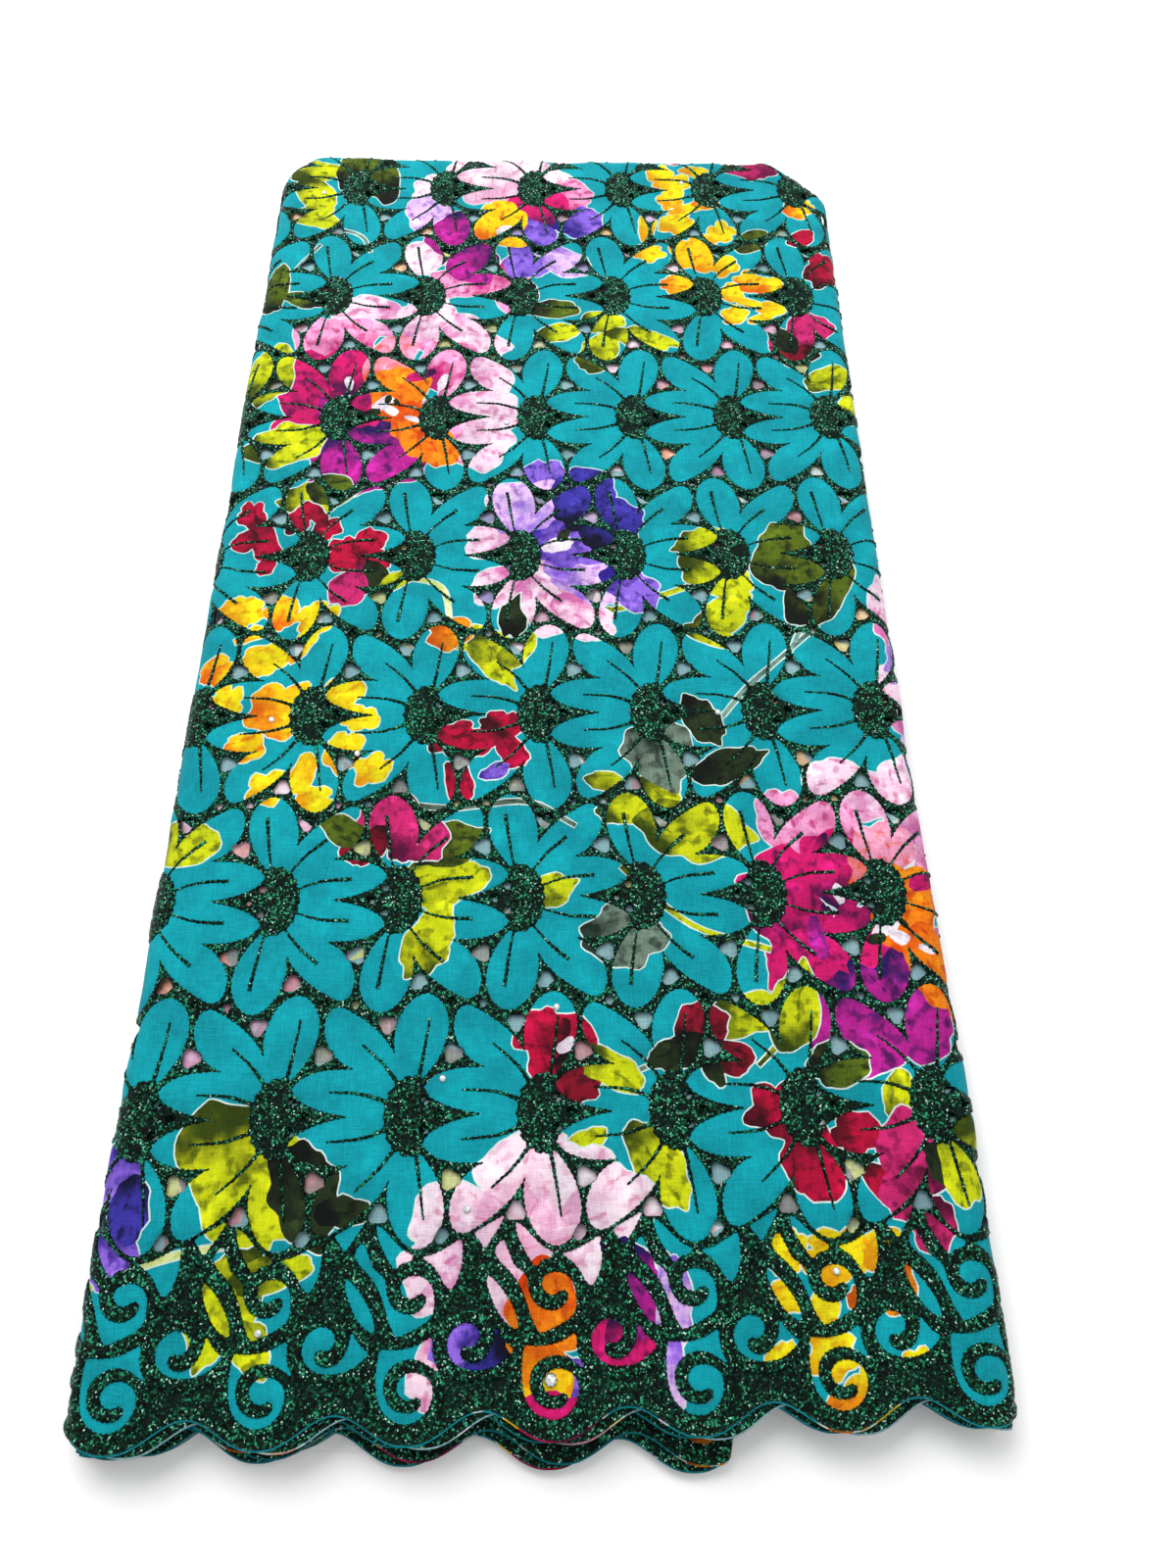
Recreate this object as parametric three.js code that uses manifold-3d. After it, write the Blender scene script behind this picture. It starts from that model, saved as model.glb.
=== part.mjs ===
import * as THREE from 'three';
import * as BufferGeometryUtils from 'three/addons/utils/BufferGeometryUtils.js';
import Module from 'manifold-3d';

// Folded length of embroidered swiss voile, lying flat, in millimetres.
// x runs across the pack, y from the scalloped hem to the lengthwise fold, z up.
// The plan is drawn round the middle daisy of the embroidery, and moved to the
// pack's own middle at the end.

// Embroidery repeat
const DAISY_PITCH = 54;
const ROW_PITCH = 93;
const ROW_COUNT = 7;
const ODD_ROW_SHIFT = 13.2;

// Stack of plies
const PACK_HEIGHT = 20;
const TOP_PLY = 1.2;
const SECOND_PLY = 1;
const SEAM_GAP = 0.3;

// Soft roll of the upper fold along the left, back and right edges
const ROLL_WIDTH = 9;
const ROLL_DROP = 7;
const ROLL_TUCK = 1.6;
const ROLL_STEPS = 6;

// Hem
const HEM_FRONT = -396;
const SCALLOP_DEPTH = 10.5;
const SCALLOP_ROUND = 1.2;
const SCALLOP_PHASE = 1.5;
const SCALLOP_STEPS = 9;
const LOWER_FOLD_END = 17;
const LOWER_FOLD_EASE = 5;
const CUT_FRONT = -440;
const CUT_SIDE = 260;

// Corners of the pack seen from above, from the hem's left end round the back
const OUTLINE = [
  { x: -233.4, y: CUT_FRONT, radius: 0 },
  { x: -226.4, y: -205, radius: 0 },
  { x: -220.1, y: 0, radius: 0 },
  { x: -215.2, y: 165, radius: 0 },
  { x: -210.6, y: 311.6, radius: 30 },
  { x: -47, y: 308.6, radius: 0 },
  { x: 94, y: 309, radius: 18 },
  { x: 124.8, y: 274, radius: 18 },
  { x: 122.4, y: 100, radius: 0 },
  { x: 120, y: -110, radius: 0 },
  { x: 121.6, y: -270, radius: 0 },
  { x: 118.6, y: CUT_FRONT, radius: 0 },
];
const CORNER_STEPS = 7;

// Folds of the hidden layers, from the floor up: top is each fold's upper face,
// bulge how far its rounded edge stands in from the outline, and the last
// columns give its hem: forward of the top ply, skew across, shift along, and
// whether it ends part of the way across
const FOLDS = [
  { top: 2.7, bulge: 1.6, forward: 1.5, skew: 0, shift: 9, partial: false },
  { top: 5.6, bulge: 0.4, forward: 13.4, skew: -0.048, shift: -3, partial: true },
  { top: 8.3, bulge: 1.1, forward: 11, skew: -0.042, shift: 2, partial: true },
  { top: 11.1, bulge: 0, forward: 0.6, skew: 0, shift: 3, partial: false },
];
const FOLD_GROOVE = 3.6;
const FOLD_STEPS = 4;
const UPPER_LAYERS = { forward: 0.2, skew: 0, shift: -4, partial: false };
const SECOND_HEM = { forward: 1, skew: 0, shift: 6, partial: false };
const TOP_HEM = { forward: 0, skew: 0, shift: 0, partial: false };

// Cutwork of one daisy, its spike pointing to +x: where each hole lies, the
// angle of its widest corner, and its reach
const CUTWORK = [
  { x: 15, y: 25, angle: 0, reach: 4.6 },
  { x: 15, y: -25, angle: 0, reach: 4.6 },
  { x: -13, y: 37.5, angle: 30, reach: 4.3 },
  { x: -13, y: -37.5, angle: -30, reach: 4.3 },
];
// One more hole of each daisy in the row beside the border
const BORDER_CUTWORK = { x: 12.6, y: -46.2, angle: 90, reach: 3.3 };
const HOLE_CORNERS = 3;
const HOLE_BLUNT = 22;
const HOLE_MARGIN = 8;
const BORDER_TOP = -331;

const wasm = await Module();
wasm.setup();

function toSolid(positions, triangles) {
  return new wasm.Manifold(new wasm.Mesh({
    numProp: 3,
    vertProperties: new Float32Array(positions),
    triVerts: new Uint32Array(triangles),
  }));
}

function geometryToSolid(geometry) {
  geometry.deleteAttribute('normal');
  geometry.deleteAttribute('uv');
  const merged = BufferGeometryUtils.mergeVertices(geometry);
  return toSolid(merged.attributes.position.array, merged.index.array);
}

function solidToGeometry(solid) {
  const mesh = solid.getMesh();
  const geometry = new THREE.BufferGeometry();
  geometry.setAttribute('position', new THREE.BufferAttribute(mesh.vertProperties, 3));
  geometry.setIndex(new THREE.BufferAttribute(mesh.triVerts, 1));
  geometry.computeVertexNormals();
  return geometry;
}

// Points of the outline, its rounded corners as arcs, each with its inward normal
function outlineStations() {
  const points = [];
  OUTLINE.forEach((corner, index) => {
    const here = new THREE.Vector2(corner.x, corner.y);
    if (corner.radius === 0) {
      points.push(here);
      return;
    }
    const before = new THREE.Vector2(OUTLINE[index - 1].x, OUTLINE[index - 1].y).sub(here).normalize();
    const after = new THREE.Vector2(OUTLINE[index + 1].x, OUTLINE[index + 1].y).sub(here).normalize();
    const halfAngle = Math.acos(before.dot(after)) / 2;
    const reach = corner.radius / Math.tan(halfAngle);
    const bisector = before.clone().add(after).normalize();
    const centre = here.clone().addScaledVector(bisector, corner.radius / Math.sin(halfAngle));
    const start = here.clone().addScaledVector(before, reach).sub(centre);
    const turn = Math.PI - 2 * halfAngle;
    for (let step = 0; step <= CORNER_STEPS; step += 1) {
      const swing = -turn * step / CORNER_STEPS;
      points.push(start.clone().rotateAround(new THREE.Vector2(0, 0), swing).add(centre));
    }
  });
  return points.map((point, index) => {
    const previous = points[Math.max(index - 1, 0)];
    const next = points[Math.min(index + 1, points.length - 1)];
    const along = next.clone().sub(previous).normalize();
    const atEnd = index === 0 || index === points.length - 1;
    const inward = new THREE.Vector2(along.y, -along.x);
    return { point, inward: atEnd ? new THREE.Vector2(Math.sign(inward.x), 0) : inward };
  });
}

const STATIONS = outlineStations();

function ring(inset, z) {
  return STATIONS.map(({ point, inward }) => {
    const moved = point.clone().addScaledVector(inward, inset);
    return [moved.x, moved.y, z];
  });
}

function ringFace(ringPoints) {
  return THREE.ShapeUtils.triangulateShape(ringPoints.map(([x, y]) => new THREE.Vector2(x, y)), []);
}

// Solid through closed rings from the floor up, flat below and above
function stackedSolid(rings) {
  const count = STATIONS.length;
  const triangles = [];
  for (let level = 0; level < rings.length - 1; level += 1) {
    for (let index = 0; index < count; index += 1) {
      const next = (index + 1) % count;
      const low = level * count;
      const high = low + count;
      triangles.push(low + index, high + index, high + next);
      triangles.push(low + index, high + next, low + next);
    }
  }
  const last = (rings.length - 1) * count;
  ringFace(rings[0]).forEach(([a, b, c]) => triangles.push(a, c, b));
  ringFace(rings.at(-1)).forEach(([a, b, c]) => triangles.push(last + a, last + b, last + c));
  return toSolid(rings.flat(2), triangles);
}

// Wall of cloth: a flat field whose edge rolls down on three sides. The outer
// rings run from the field to the tucked edge, the inner ones lie a ply below
function clothWall(outerRings, innerRings) {
  const count = STATIONS.length;
  const depth = outerRings.length;
  const rings = [...outerRings, ...[...innerRings].reverse()];
  const triangles = [];
  for (let level = 0; level < rings.length - 1; level += 1) {
    for (let index = 0; index < count - 1; index += 1) {
      const here = level * count + index;
      const below = here + count;
      triangles.push(here, here + 1, below + 1, here, below + 1, below);
    }
  }
  const innerField = (rings.length - 1) * count;
  ringFace(outerRings[0]).forEach(([a, b, c]) => triangles.push(a, b, c));
  ringFace(innerRings[0]).forEach(([a, b, c]) => {
    triangles.push(innerField + a, innerField + c, innerField + b);
  });
  for (let level = 0; level < depth - 1; level += 1) {
    const outer = level * count;
    const inner = (rings.length - 1 - level) * count;
    triangles.push(outer, outer + count, inner - count, outer, inner - count, inner);
    const outerEnd = outer + count - 1;
    const innerEnd = inner + count - 1;
    triangles.push(outerEnd, innerEnd - count, outerEnd + count, outerEnd, innerEnd, innerEnd - count);
  }
  const fieldEnd = count - 1;
  triangles.push(0, innerField, innerField + fieldEnd, 0, innerField + fieldEnd, fieldEnd);
  return toSolid(rings.flat(2), triangles);
}

function hemLine(hem, x) {
  const wave = Math.abs(Math.sin(Math.PI * (x - SCALLOP_PHASE - hem.shift) / DAISY_PITCH));
  const scallop = HEM_FRONT + SCALLOP_DEPTH * wave ** (2 * SCALLOP_ROUND);
  const forward = hem.forward + hem.skew * (LOWER_FOLD_END - x);
  if (!hem.partial) return scallop - forward;
  const ended = THREE.MathUtils.smoothstep(x, LOWER_FOLD_END - LOWER_FOLD_EASE, LOWER_FOLD_END);
  return THREE.MathUtils.lerp(scallop - forward, HEM_FRONT + SCALLOP_DEPTH, ended);
}

// Everything in front of a hem line, between two heights
function hemCutter(hem, bottom, top) {
  const shape = new THREE.Shape();
  const spacing = DAISY_PITCH / SCALLOP_STEPS;
  const steps = Math.ceil(2 * CUT_SIDE / spacing);
  shape.moveTo(-CUT_SIDE, 2 * CUT_FRONT);
  for (let step = 0; step <= steps; step += 1) {
    const x = -CUT_SIDE + step * spacing;
    shape.lineTo(x, hemLine(hem, x));
  }
  shape.lineTo(-CUT_SIDE + steps * spacing, 2 * CUT_FRONT);
  const geometry = new THREE.ExtrudeGeometry(shape, { depth: top - bottom, bevelEnabled: false });
  geometry.translate(0, 0, bottom);
  return geometryToSolid(geometry);
}

// Rolled section of a ply: inset from the outline, and height
function rollSection(outset, top, steps) {
  const section = [];
  for (let step = 0; step <= steps; step += 1) {
    const angle = step / steps * Math.PI / 2;
    const across = (ROLL_WIDTH - outset) * Math.sin(angle);
    const down = (ROLL_DROP - outset) * (1 - Math.cos(angle));
    section.push({ inset: ROLL_WIDTH - across, z: top - down });
  }
  const edge = section.at(-1);
  section.push({ inset: edge.inset + ROLL_TUCK / 2, z: edge.z - ROLL_TUCK });
  return section;
}

function plySolid(outset, top, thickness, hem) {
  const outer = rollSection(outset, top, ROLL_STEPS);
  const inner = rollSection(outset + thickness, top - thickness, ROLL_STEPS);
  const wall = clothWall(
    outer.map(({ inset, z }) => ring(inset, z)),
    inner.map(({ inset, z }) => ring(inset, z)),
  );
  return wall.subtract(hemCutter(hem, 0, PACK_HEIGHT + TOP_PLY));
}

// Is a plan point on the flat field, clear of the rolled edges and the border
function onField(x, y) {
  if (y < BORDER_TOP) return false;
  return STATIONS.every(({ point, inward }, index) => {
    const next = STATIONS[(index + 1) % STATIONS.length].point;
    const segment = new THREE.Line3(new THREE.Vector3(point.x, point.y, 0), new THREE.Vector3(next.x, next.y, 0));
    const nearest = segment.closestPointToPoint(new THREE.Vector3(x, y, 0), true, new THREE.Vector3());
    const distance = nearest.distanceTo(new THREE.Vector3(x, y, 0));
    const side = (x - point.x) * inward.x + (y - point.y) * inward.y;
    return index === STATIONS.length - 1 || (distance > HOLE_MARGIN && side > 0);
  });
}

function holeCutter(x, y, angle, reach) {
  const shape = new THREE.Shape();
  for (let corner = 0; corner < HOLE_CORNERS; corner += 1) {
    for (const side of [-1, 1]) {
      const turn = angle + corner * 360 / HOLE_CORNERS + side * HOLE_BLUNT;
      const radians = THREE.MathUtils.degToRad(turn);
      const px = x + reach * Math.cos(radians);
      const py = y + reach * Math.sin(radians);
      if (corner === 0 && side === -1) shape.moveTo(px, py);
      else shape.lineTo(px, py);
    }
  }
  const depth = 3 * TOP_PLY;
  const geometry = new THREE.ExtrudeGeometry(shape, { depth, bevelEnabled: false });
  geometry.translate(0, 0, PACK_HEIGHT - 2 * TOP_PLY);
  return geometryToSolid(geometry);
}

// Cutwork of every daisy on the pack: rows alternate in facing and shift
function cutworkHoles() {
  const middleRow = (ROW_COUNT - 1) / 2;
  const holes = [];
  for (let row = 0; row < ROW_COUNT; row += 1) {
    const facing = row % 2 === 0 ? 1 : -1;
    const shift = row % 2 === 0 ? 0 : -ODD_ROW_SHIFT;
    const rowY = (row - middleRow) * ROW_PITCH;
    const rowHoles = row === 0 ? [...CUTWORK, BORDER_CUTWORK] : CUTWORK;
    for (let column = -5; column <= 3; column += 1) {
      const daisyX = column * DAISY_PITCH + shift;
      for (const hole of rowHoles) {
        const x = daisyX + facing * hole.x;
        const y = rowY + hole.y;
        const angle = facing === 1 ? hole.angle : 180 - hole.angle;
        if (onField(x, y)) holes.push(holeCutter(x, y, angle, hole.reach));
      }
    }
  }
  return holes;
}

function topPanel() {
  const wall = plySolid(0, PACK_HEIGHT, TOP_PLY, TOP_HEM);
  return cutworkHoles().reduce((solid, hole) => solid.subtract(hole), wall);
}

function secondPly() {
  const outset = TOP_PLY + SEAM_GAP;
  return plySolid(outset, PACK_HEIGHT - outset, SECOND_PLY, SECOND_HEM);
}

// Hidden layers: rounded folds one above another, under the rolled upper plies
function foldedCore() {
  const rings = [];
  let floor = 0;
  FOLDS.forEach(({ top, bulge }) => {
    for (let step = 0; step <= FOLD_STEPS; step += 1) {
      const angle = (step / FOLD_STEPS - 0.5) * Math.PI;
      const inset = bulge + FOLD_GROOVE * (1 - Math.cos(angle));
      const z = THREE.MathUtils.lerp(floor, top, (1 + Math.sin(angle)) / 2);
      if (step > 0 || floor === 0) rings.push(ring(inset, z));
    }
    floor = top;
  });
  const covered = TOP_PLY + SECOND_PLY + 2 * SEAM_GAP;
  const shoulder = rollSection(covered, PACK_HEIGHT - covered, ROLL_STEPS).reverse();
  shoulder.forEach(({ inset, z }) => rings.push(ring(inset, z)));
  let core = stackedSolid(rings);
  let bottom = 0;
  FOLDS.forEach((fold) => {
    core = core.subtract(hemCutter(fold, bottom === 0 ? -1 : bottom, fold.top));
    bottom = fold.top;
  });
  return core.subtract(hemCutter(UPPER_LAYERS, bottom, PACK_HEIGHT));
}

const PIECES = [
  { name: 'top_panel', solid: topPanel(), color: 0x12a6b0 },
  { name: 'second_ply', solid: secondPly(), color: 0x2f8f8c },
  { name: 'folded_core', solid: foldedCore(), color: 0x0f6a63 },
];

const pack = new THREE.Group();
PIECES.forEach(({ name, solid, color }) => {
  const material = new THREE.MeshStandardMaterial({ color, roughness: 0.8, metalness: 0 });
  const mesh = new THREE.Mesh(solidToGeometry(solid), material);
  mesh.name = name;
  pack.add(mesh);
});

// Origin at the middle of the pack's footprint, on the surface that it lies on
const box = new THREE.Box3().setFromObject(pack);
const middle = box.getCenter(new THREE.Vector3());
pack.position.set(-middle.x, -middle.y, -box.min.z);

export default pack;
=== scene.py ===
import math

import bpy
import numpy as np
from mathutils import Matrix, Vector, geometry, kdtree


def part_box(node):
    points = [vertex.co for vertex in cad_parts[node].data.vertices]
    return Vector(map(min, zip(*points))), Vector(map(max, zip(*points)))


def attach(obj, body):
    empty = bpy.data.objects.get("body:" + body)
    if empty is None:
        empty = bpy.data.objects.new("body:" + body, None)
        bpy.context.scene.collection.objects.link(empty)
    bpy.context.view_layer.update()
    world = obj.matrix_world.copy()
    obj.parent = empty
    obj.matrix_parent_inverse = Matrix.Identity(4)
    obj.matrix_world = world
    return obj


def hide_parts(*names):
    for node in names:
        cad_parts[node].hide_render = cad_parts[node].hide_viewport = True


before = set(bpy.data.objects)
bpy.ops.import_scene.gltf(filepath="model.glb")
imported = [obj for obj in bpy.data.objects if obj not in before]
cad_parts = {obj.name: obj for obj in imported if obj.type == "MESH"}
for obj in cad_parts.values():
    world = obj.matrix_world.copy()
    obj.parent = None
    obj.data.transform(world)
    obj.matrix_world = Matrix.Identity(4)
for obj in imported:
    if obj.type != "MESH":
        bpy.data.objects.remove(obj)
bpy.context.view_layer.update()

# Folded length of embroidered swiss voile. Everything is drawn in a flat plan in
# millimetres, round the middle daisy of the embroidery, laid over the pack's rolled
# edges, and turned into the frame's metres at the end.
MM = 0.001

# Embroidery repeat
DAISY_PITCH = 54.0
ROW_PITCH = 93.0
ROW_COUNT = 7
ODD_ROW_SHIFT = 13.2
COLUMNS = range(-6, 5)

# Stack of plies
PACK_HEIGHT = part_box("top_panel")[1].z / MM
TOP_PLY = 1.2
SEAM_GAP = 0.3
CLOTH = 0.4

# Soft roll of the upper fold along the left, back and right edges
ROLL_WIDTH = 9.0
ROLL_DROP = 7.0
ROLL_TUCK = 1.6

# Hem
HEM_FRONT = -396.0
SCALLOP_DEPTH = 10.5
SCALLOP_ROUND = 1.2
SCALLOP_PHASE = 1.5
LOWER_FOLD_END = 17.0
LOWER_FOLD_EASE = 5.0

# Corners of the pack seen from above, from the hem's left end round the back:
# x, y and corner radius
OUTLINE = (
    (-233.4, -440.0, 0.0),
    (-226.4, -205.0, 0.0),
    (-220.1, 0.0, 0.0),
    (-215.2, 165.0, 0.0),
    (-210.6, 311.6, 30.0),
    (-47.0, 308.6, 0.0),
    (94.0, 309.0, 18.0),
    (124.8, 274.0, 18.0),
    (122.4, 100.0, 0.0),
    (120.0, -110.0, 0.0),
    (121.6, -270.0, 0.0),
    (118.6, -440.0, 0.0),
)
CORNER_STEPS = 14
OUTLINE_STEP = 3.0
# Plan points inside this box (x low, x high, y high) are clear of every rolled edge
FLAT_BOX = (-199.0, 104.0, 286.0)
FAR_INSIDE = 99.0
# How far the edges waver in and out, over what length, and from how far into the roll
EDGE_WAVER = 1.6
WAVER_LENGTH = 38.0
WAVER_RUN = 7.0
SECTION_STEP = 0.3
SECTION_ANGLES = 16

# Seeds of the pieces' random draws. Plies that are alike count on by SEED_STEP
TOP_SEED, FIELD_SEED, BORDER_SEED, STAMEN_SEED, SECOND_SEED = 21, 31, 41, 51, 61
FOLD_SEED, UPPER_SEED, INNER_SEED, FLOOR_SEED = 70, 90, 120, 150
SEED_STEP = 5
ROLL_SEED, FOLD_ROLL_SEED = 7, 20

# Constants of the hash behind the noise, and how many points are looked at together
HASH_COLUMN, HASH_ROW, HASH_SEED, HASH_GAIN = 127.1, 311.7, 74.7, 43758.5453
EDGE_CHUNK = 4000
POLYGON_CHUNK = 20000


# Plan helpers

def unit(vector):
    return vector / np.linalg.norm(vector)


def unit_rows(vectors, least=0.0):
    """Each row made one unit long."""
    return vectors / np.maximum(np.linalg.norm(vectors, axis=1), least)[:, None]


def eased(share):
    """A share from 0 to 1 that starts and ends slowly."""
    return share * share * (3 - 2 * share)


def turned(points, degrees):
    radians = math.radians(degrees)
    cosine, sine = math.cos(radians), math.sin(radians)
    return np.asarray(points, float) @ np.array([[cosine, sine], [-sine, cosine]])


def resampled(points, step):
    """Points a step apart along a polyline, its ends kept."""
    points = np.asarray(points, float)
    lengths = np.r_[0.0, np.cumsum(np.linalg.norm(np.diff(points, axis=0), axis=1))]
    count = max(int(round(lengths[-1] / step)), 1)
    at = np.linspace(0.0, lengths[-1], count + 1)
    return np.stack([np.interp(at, lengths, points[:, axis]) for axis in (0, 1)], axis=1)


def spline(points, steps=5):
    """Centripetal curve through the points, its ends kept."""
    points = np.asarray(points, float)
    padded = np.vstack([2 * points[0] - points[1], points, 2 * points[-1] - points[-2]])
    curve = []
    for index in range(1, len(padded) - 2):
        p0, p1, p2, p3 = padded[index - 1:index + 3]
        t1 = np.linalg.norm(p1 - p0) ** 0.5
        t2 = t1 + np.linalg.norm(p2 - p1) ** 0.5
        t3 = t2 + np.linalg.norm(p3 - p2) ** 0.5
        for t in np.linspace(t1, t2, steps, endpoint=False):
            a1 = (t1 - t) / t1 * p0 + t / t1 * p1
            a2 = (t2 - t) / (t2 - t1) * p1 + (t - t1) / (t2 - t1) * p2
            a3 = (t3 - t) / (t3 - t2) * p2 + (t - t2) / (t3 - t2) * p3
            b1 = (t2 - t) / t2 * a1 + t / t2 * a2
            b2 = (t3 - t) / (t3 - t1) * a2 + (t - t1) / (t3 - t1) * a3
            curve.append((t2 - t) / (t2 - t1) * b1 + (t - t1) / (t2 - t1) * b2)
    curve.append(points[-1])
    return np.array(curve)


def closed_spline(points, steps=5):
    points = np.asarray(points, float)
    wrapped = np.vstack([points[-2:], points, points[:3]])
    return spline(wrapped, steps)[2 * steps:(len(points) + 2) * steps]


def lattice_noise(x, y, scale, seed):
    """Smooth noise from 0 to 1 with blobs about scale wide."""
    x, y = np.asarray(x) / scale, np.asarray(y) / scale
    column, row = np.floor(x), np.floor(y)
    fx, fy = eased(x - column), eased(y - row)

    def corner(dx, dy):
        angle = (column + dx) * HASH_COLUMN + (row + dy) * HASH_ROW + seed * HASH_SEED
        value = np.sin(angle) * HASH_GAIN
        return value - np.floor(value)

    low = corner(0, 0) * (1 - fx) + corner(1, 0) * fx
    high = corner(0, 1) * (1 - fx) + corner(1, 1) * fx
    return low * (1 - fy) + high * fy


def rounded_outline():
    corners = [np.array(row[:2]) for row in OUTLINE]
    points = []
    for index, (x, y, radius) in enumerate(OUTLINE):
        here = corners[index]
        if radius == 0:
            points.append(here)
            continue
        before = unit(corners[index - 1] - here)
        after = unit(corners[index + 1] - here)
        half = math.acos(before @ after) / 2
        centre = here + unit(before + after) * radius / math.sin(half)
        start = here + before * radius / math.tan(half) - centre
        turn = 180.0 - 2 * math.degrees(half)
        for step in range(CORNER_STEPS + 1):
            points.append(centre + turned(start, -turn * step / CORNER_STEPS))
    return resampled(points, OUTLINE_STEP)


def inward_along(line, reach=2):
    """Unit vectors that point into the outline at its points, averaged over their neighbours."""
    tangents = np.gradient(line, axis=0)
    inward = np.stack([tangents[:, 1], -tangents[:, 0]], axis=1)
    even = np.ones(2 * reach + 1) / (2 * reach + 1)
    for axis in (0, 1):
        inward[:, axis] = np.convolve(np.pad(inward[:, axis], reach, mode="edge"), even, "valid")
    return unit_rows(inward)


EDGE = rounded_outline()
EDGE_INWARD = inward_along(EDGE)

# The plan's place in the frame, from the box of the solid that has this outline
PANEL_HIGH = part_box("top_panel")[1]
PLAN_SHIFT = np.array([PANEL_HIGH[0] / MM - EDGE[:, 0].max(), PANEL_HIGH[1] / MM - EDGE[:, 1].max()])


def edge_frame(points):
    """How far each plan point lies inside the outline, and the inward direction there."""
    inset = np.full(len(points), FAR_INSIDE)
    direction = np.zeros((len(points), 2))
    low_x, high_x, high_y = FLAT_BOX
    clear = (points[:, 0] > low_x) & (points[:, 0] < high_x) & (points[:, 1] < high_y)
    near = np.flatnonzero(~clear)
    starts, spans = EDGE[:-1], np.diff(EDGE, axis=0)
    squares = (spans ** 2).sum(axis=1)
    for chunk in np.array_split(near, max(len(near) // EDGE_CHUNK, 1)):
        offsets = points[chunk][:, None, :] - starts[None]
        along = np.clip((offsets * spans).sum(axis=2) / squares, 0, 1)
        away = offsets - along[..., None] * spans
        best = (away ** 2).sum(axis=2).argmin(axis=1)
        rows = np.arange(len(chunk))
        part = along[rows, best][:, None]
        normal = unit_rows(EDGE_INWARD[best] * (1 - part) + EDGE_INWARD[best + 1] * part)
        offset = away[rows, best]
        side = np.sign((offset * normal).sum(axis=1))
        inset[chunk] = np.linalg.norm(offset, axis=1) * side
        direction[chunk] = normal
    return inset, direction


class Roll:
    """A ply that lies flat and then follows a section of (inset, height) points at its edges."""

    def __init__(self, section, seed=ROLL_SEED):
        section = np.asarray(section, float)
        self.seed = seed
        fine = resampled(section, SECTION_STEP)
        self.run = np.r_[0.0, np.cumsum(np.linalg.norm(np.diff(fine, axis=0), axis=1))]
        self.inset, self.level = fine.T
        slope = unit_rows(np.gradient(fine, axis=0))
        self.normal_in, self.normal_up = slope[:, 1], -slope[:, 0]
        self.start = section[0][0]
        self.reach = self.run[-1] - self.start

    def place(self, points, height=0.0):
        """Places flat plan points on the ply, raised by height along its normal."""
        inset, direction = edge_frame(points)
        run = np.clip(self.start - inset, 0, self.run[-1])
        rolled = inset < self.start
        across = np.interp(run, self.run, self.inset) - inset
        normal_in = np.interp(run, self.run, self.normal_in)
        normal_up = np.where(rolled, np.interp(run, self.run, self.normal_up), 1.0)
        waver = EDGE_WAVER * (lattice_noise(*points.T, WAVER_LENGTH, self.seed) - 0.5)
        waver *= np.clip(run / WAVER_RUN, 0, 1)
        shift = np.where(rolled, across + normal_in * height + waver, 0.0)
        plan = points + direction * shift[:, None]
        level = np.interp(run, self.run, self.level) + normal_up * height
        return np.column_stack([plan, level])


def quarter_roll(outset, top):
    """Section of a ply that rolls down over the pack's edge and tucks in below."""
    section = []
    for angle in np.linspace(0, math.pi / 2, SECTION_ANGLES):
        across = (ROLL_WIDTH - outset) * math.sin(angle)
        down = (ROLL_DROP - outset) * (1 - math.cos(angle))
        section.append((ROLL_WIDTH - across, top - down))
    inset, level = section[-1]
    section.append((inset + ROLL_TUCK / 2, level - ROLL_TUCK))
    return section


def hem_line(x, forward=0.0, skew=0.0, shift=0.0, partial=False):
    """The scalloped front edge of a ply at these places across the pack."""
    x = np.asarray(x, float)
    wave = np.abs(np.sin(math.pi * (x - SCALLOP_PHASE - shift) / DAISY_PITCH))
    scallop = HEM_FRONT + SCALLOP_DEPTH * wave ** (2 * SCALLOP_ROUND)
    line = scallop - forward - skew * (LOWER_FOLD_END - x)
    if not partial:
        return line
    ended = np.clip((x - LOWER_FOLD_END + LOWER_FOLD_EASE) / LOWER_FOLD_EASE, 0, 1)
    ended = eased(ended)
    return line * (1 - ended) + (HEM_FRONT + SCALLOP_DEPTH) * ended


def ply_domain(reach, hem, step=3.0, hem_step=1.5):
    """Flat outline of a ply whose edge runs on past the pack's outline by reach."""
    side = resampled(EDGE - EDGE_INWARD * reach, step)
    side = side[side[:, 1] > hem_line(side[:, 0], **hem) + hem_step]
    front = resampled([(side[-1][0], 0.0), (side[0][0], 0.0)], hem_step)
    front[:, 1] = hem_line(front[:, 0], **hem)
    return np.vstack([side, front])


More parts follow.
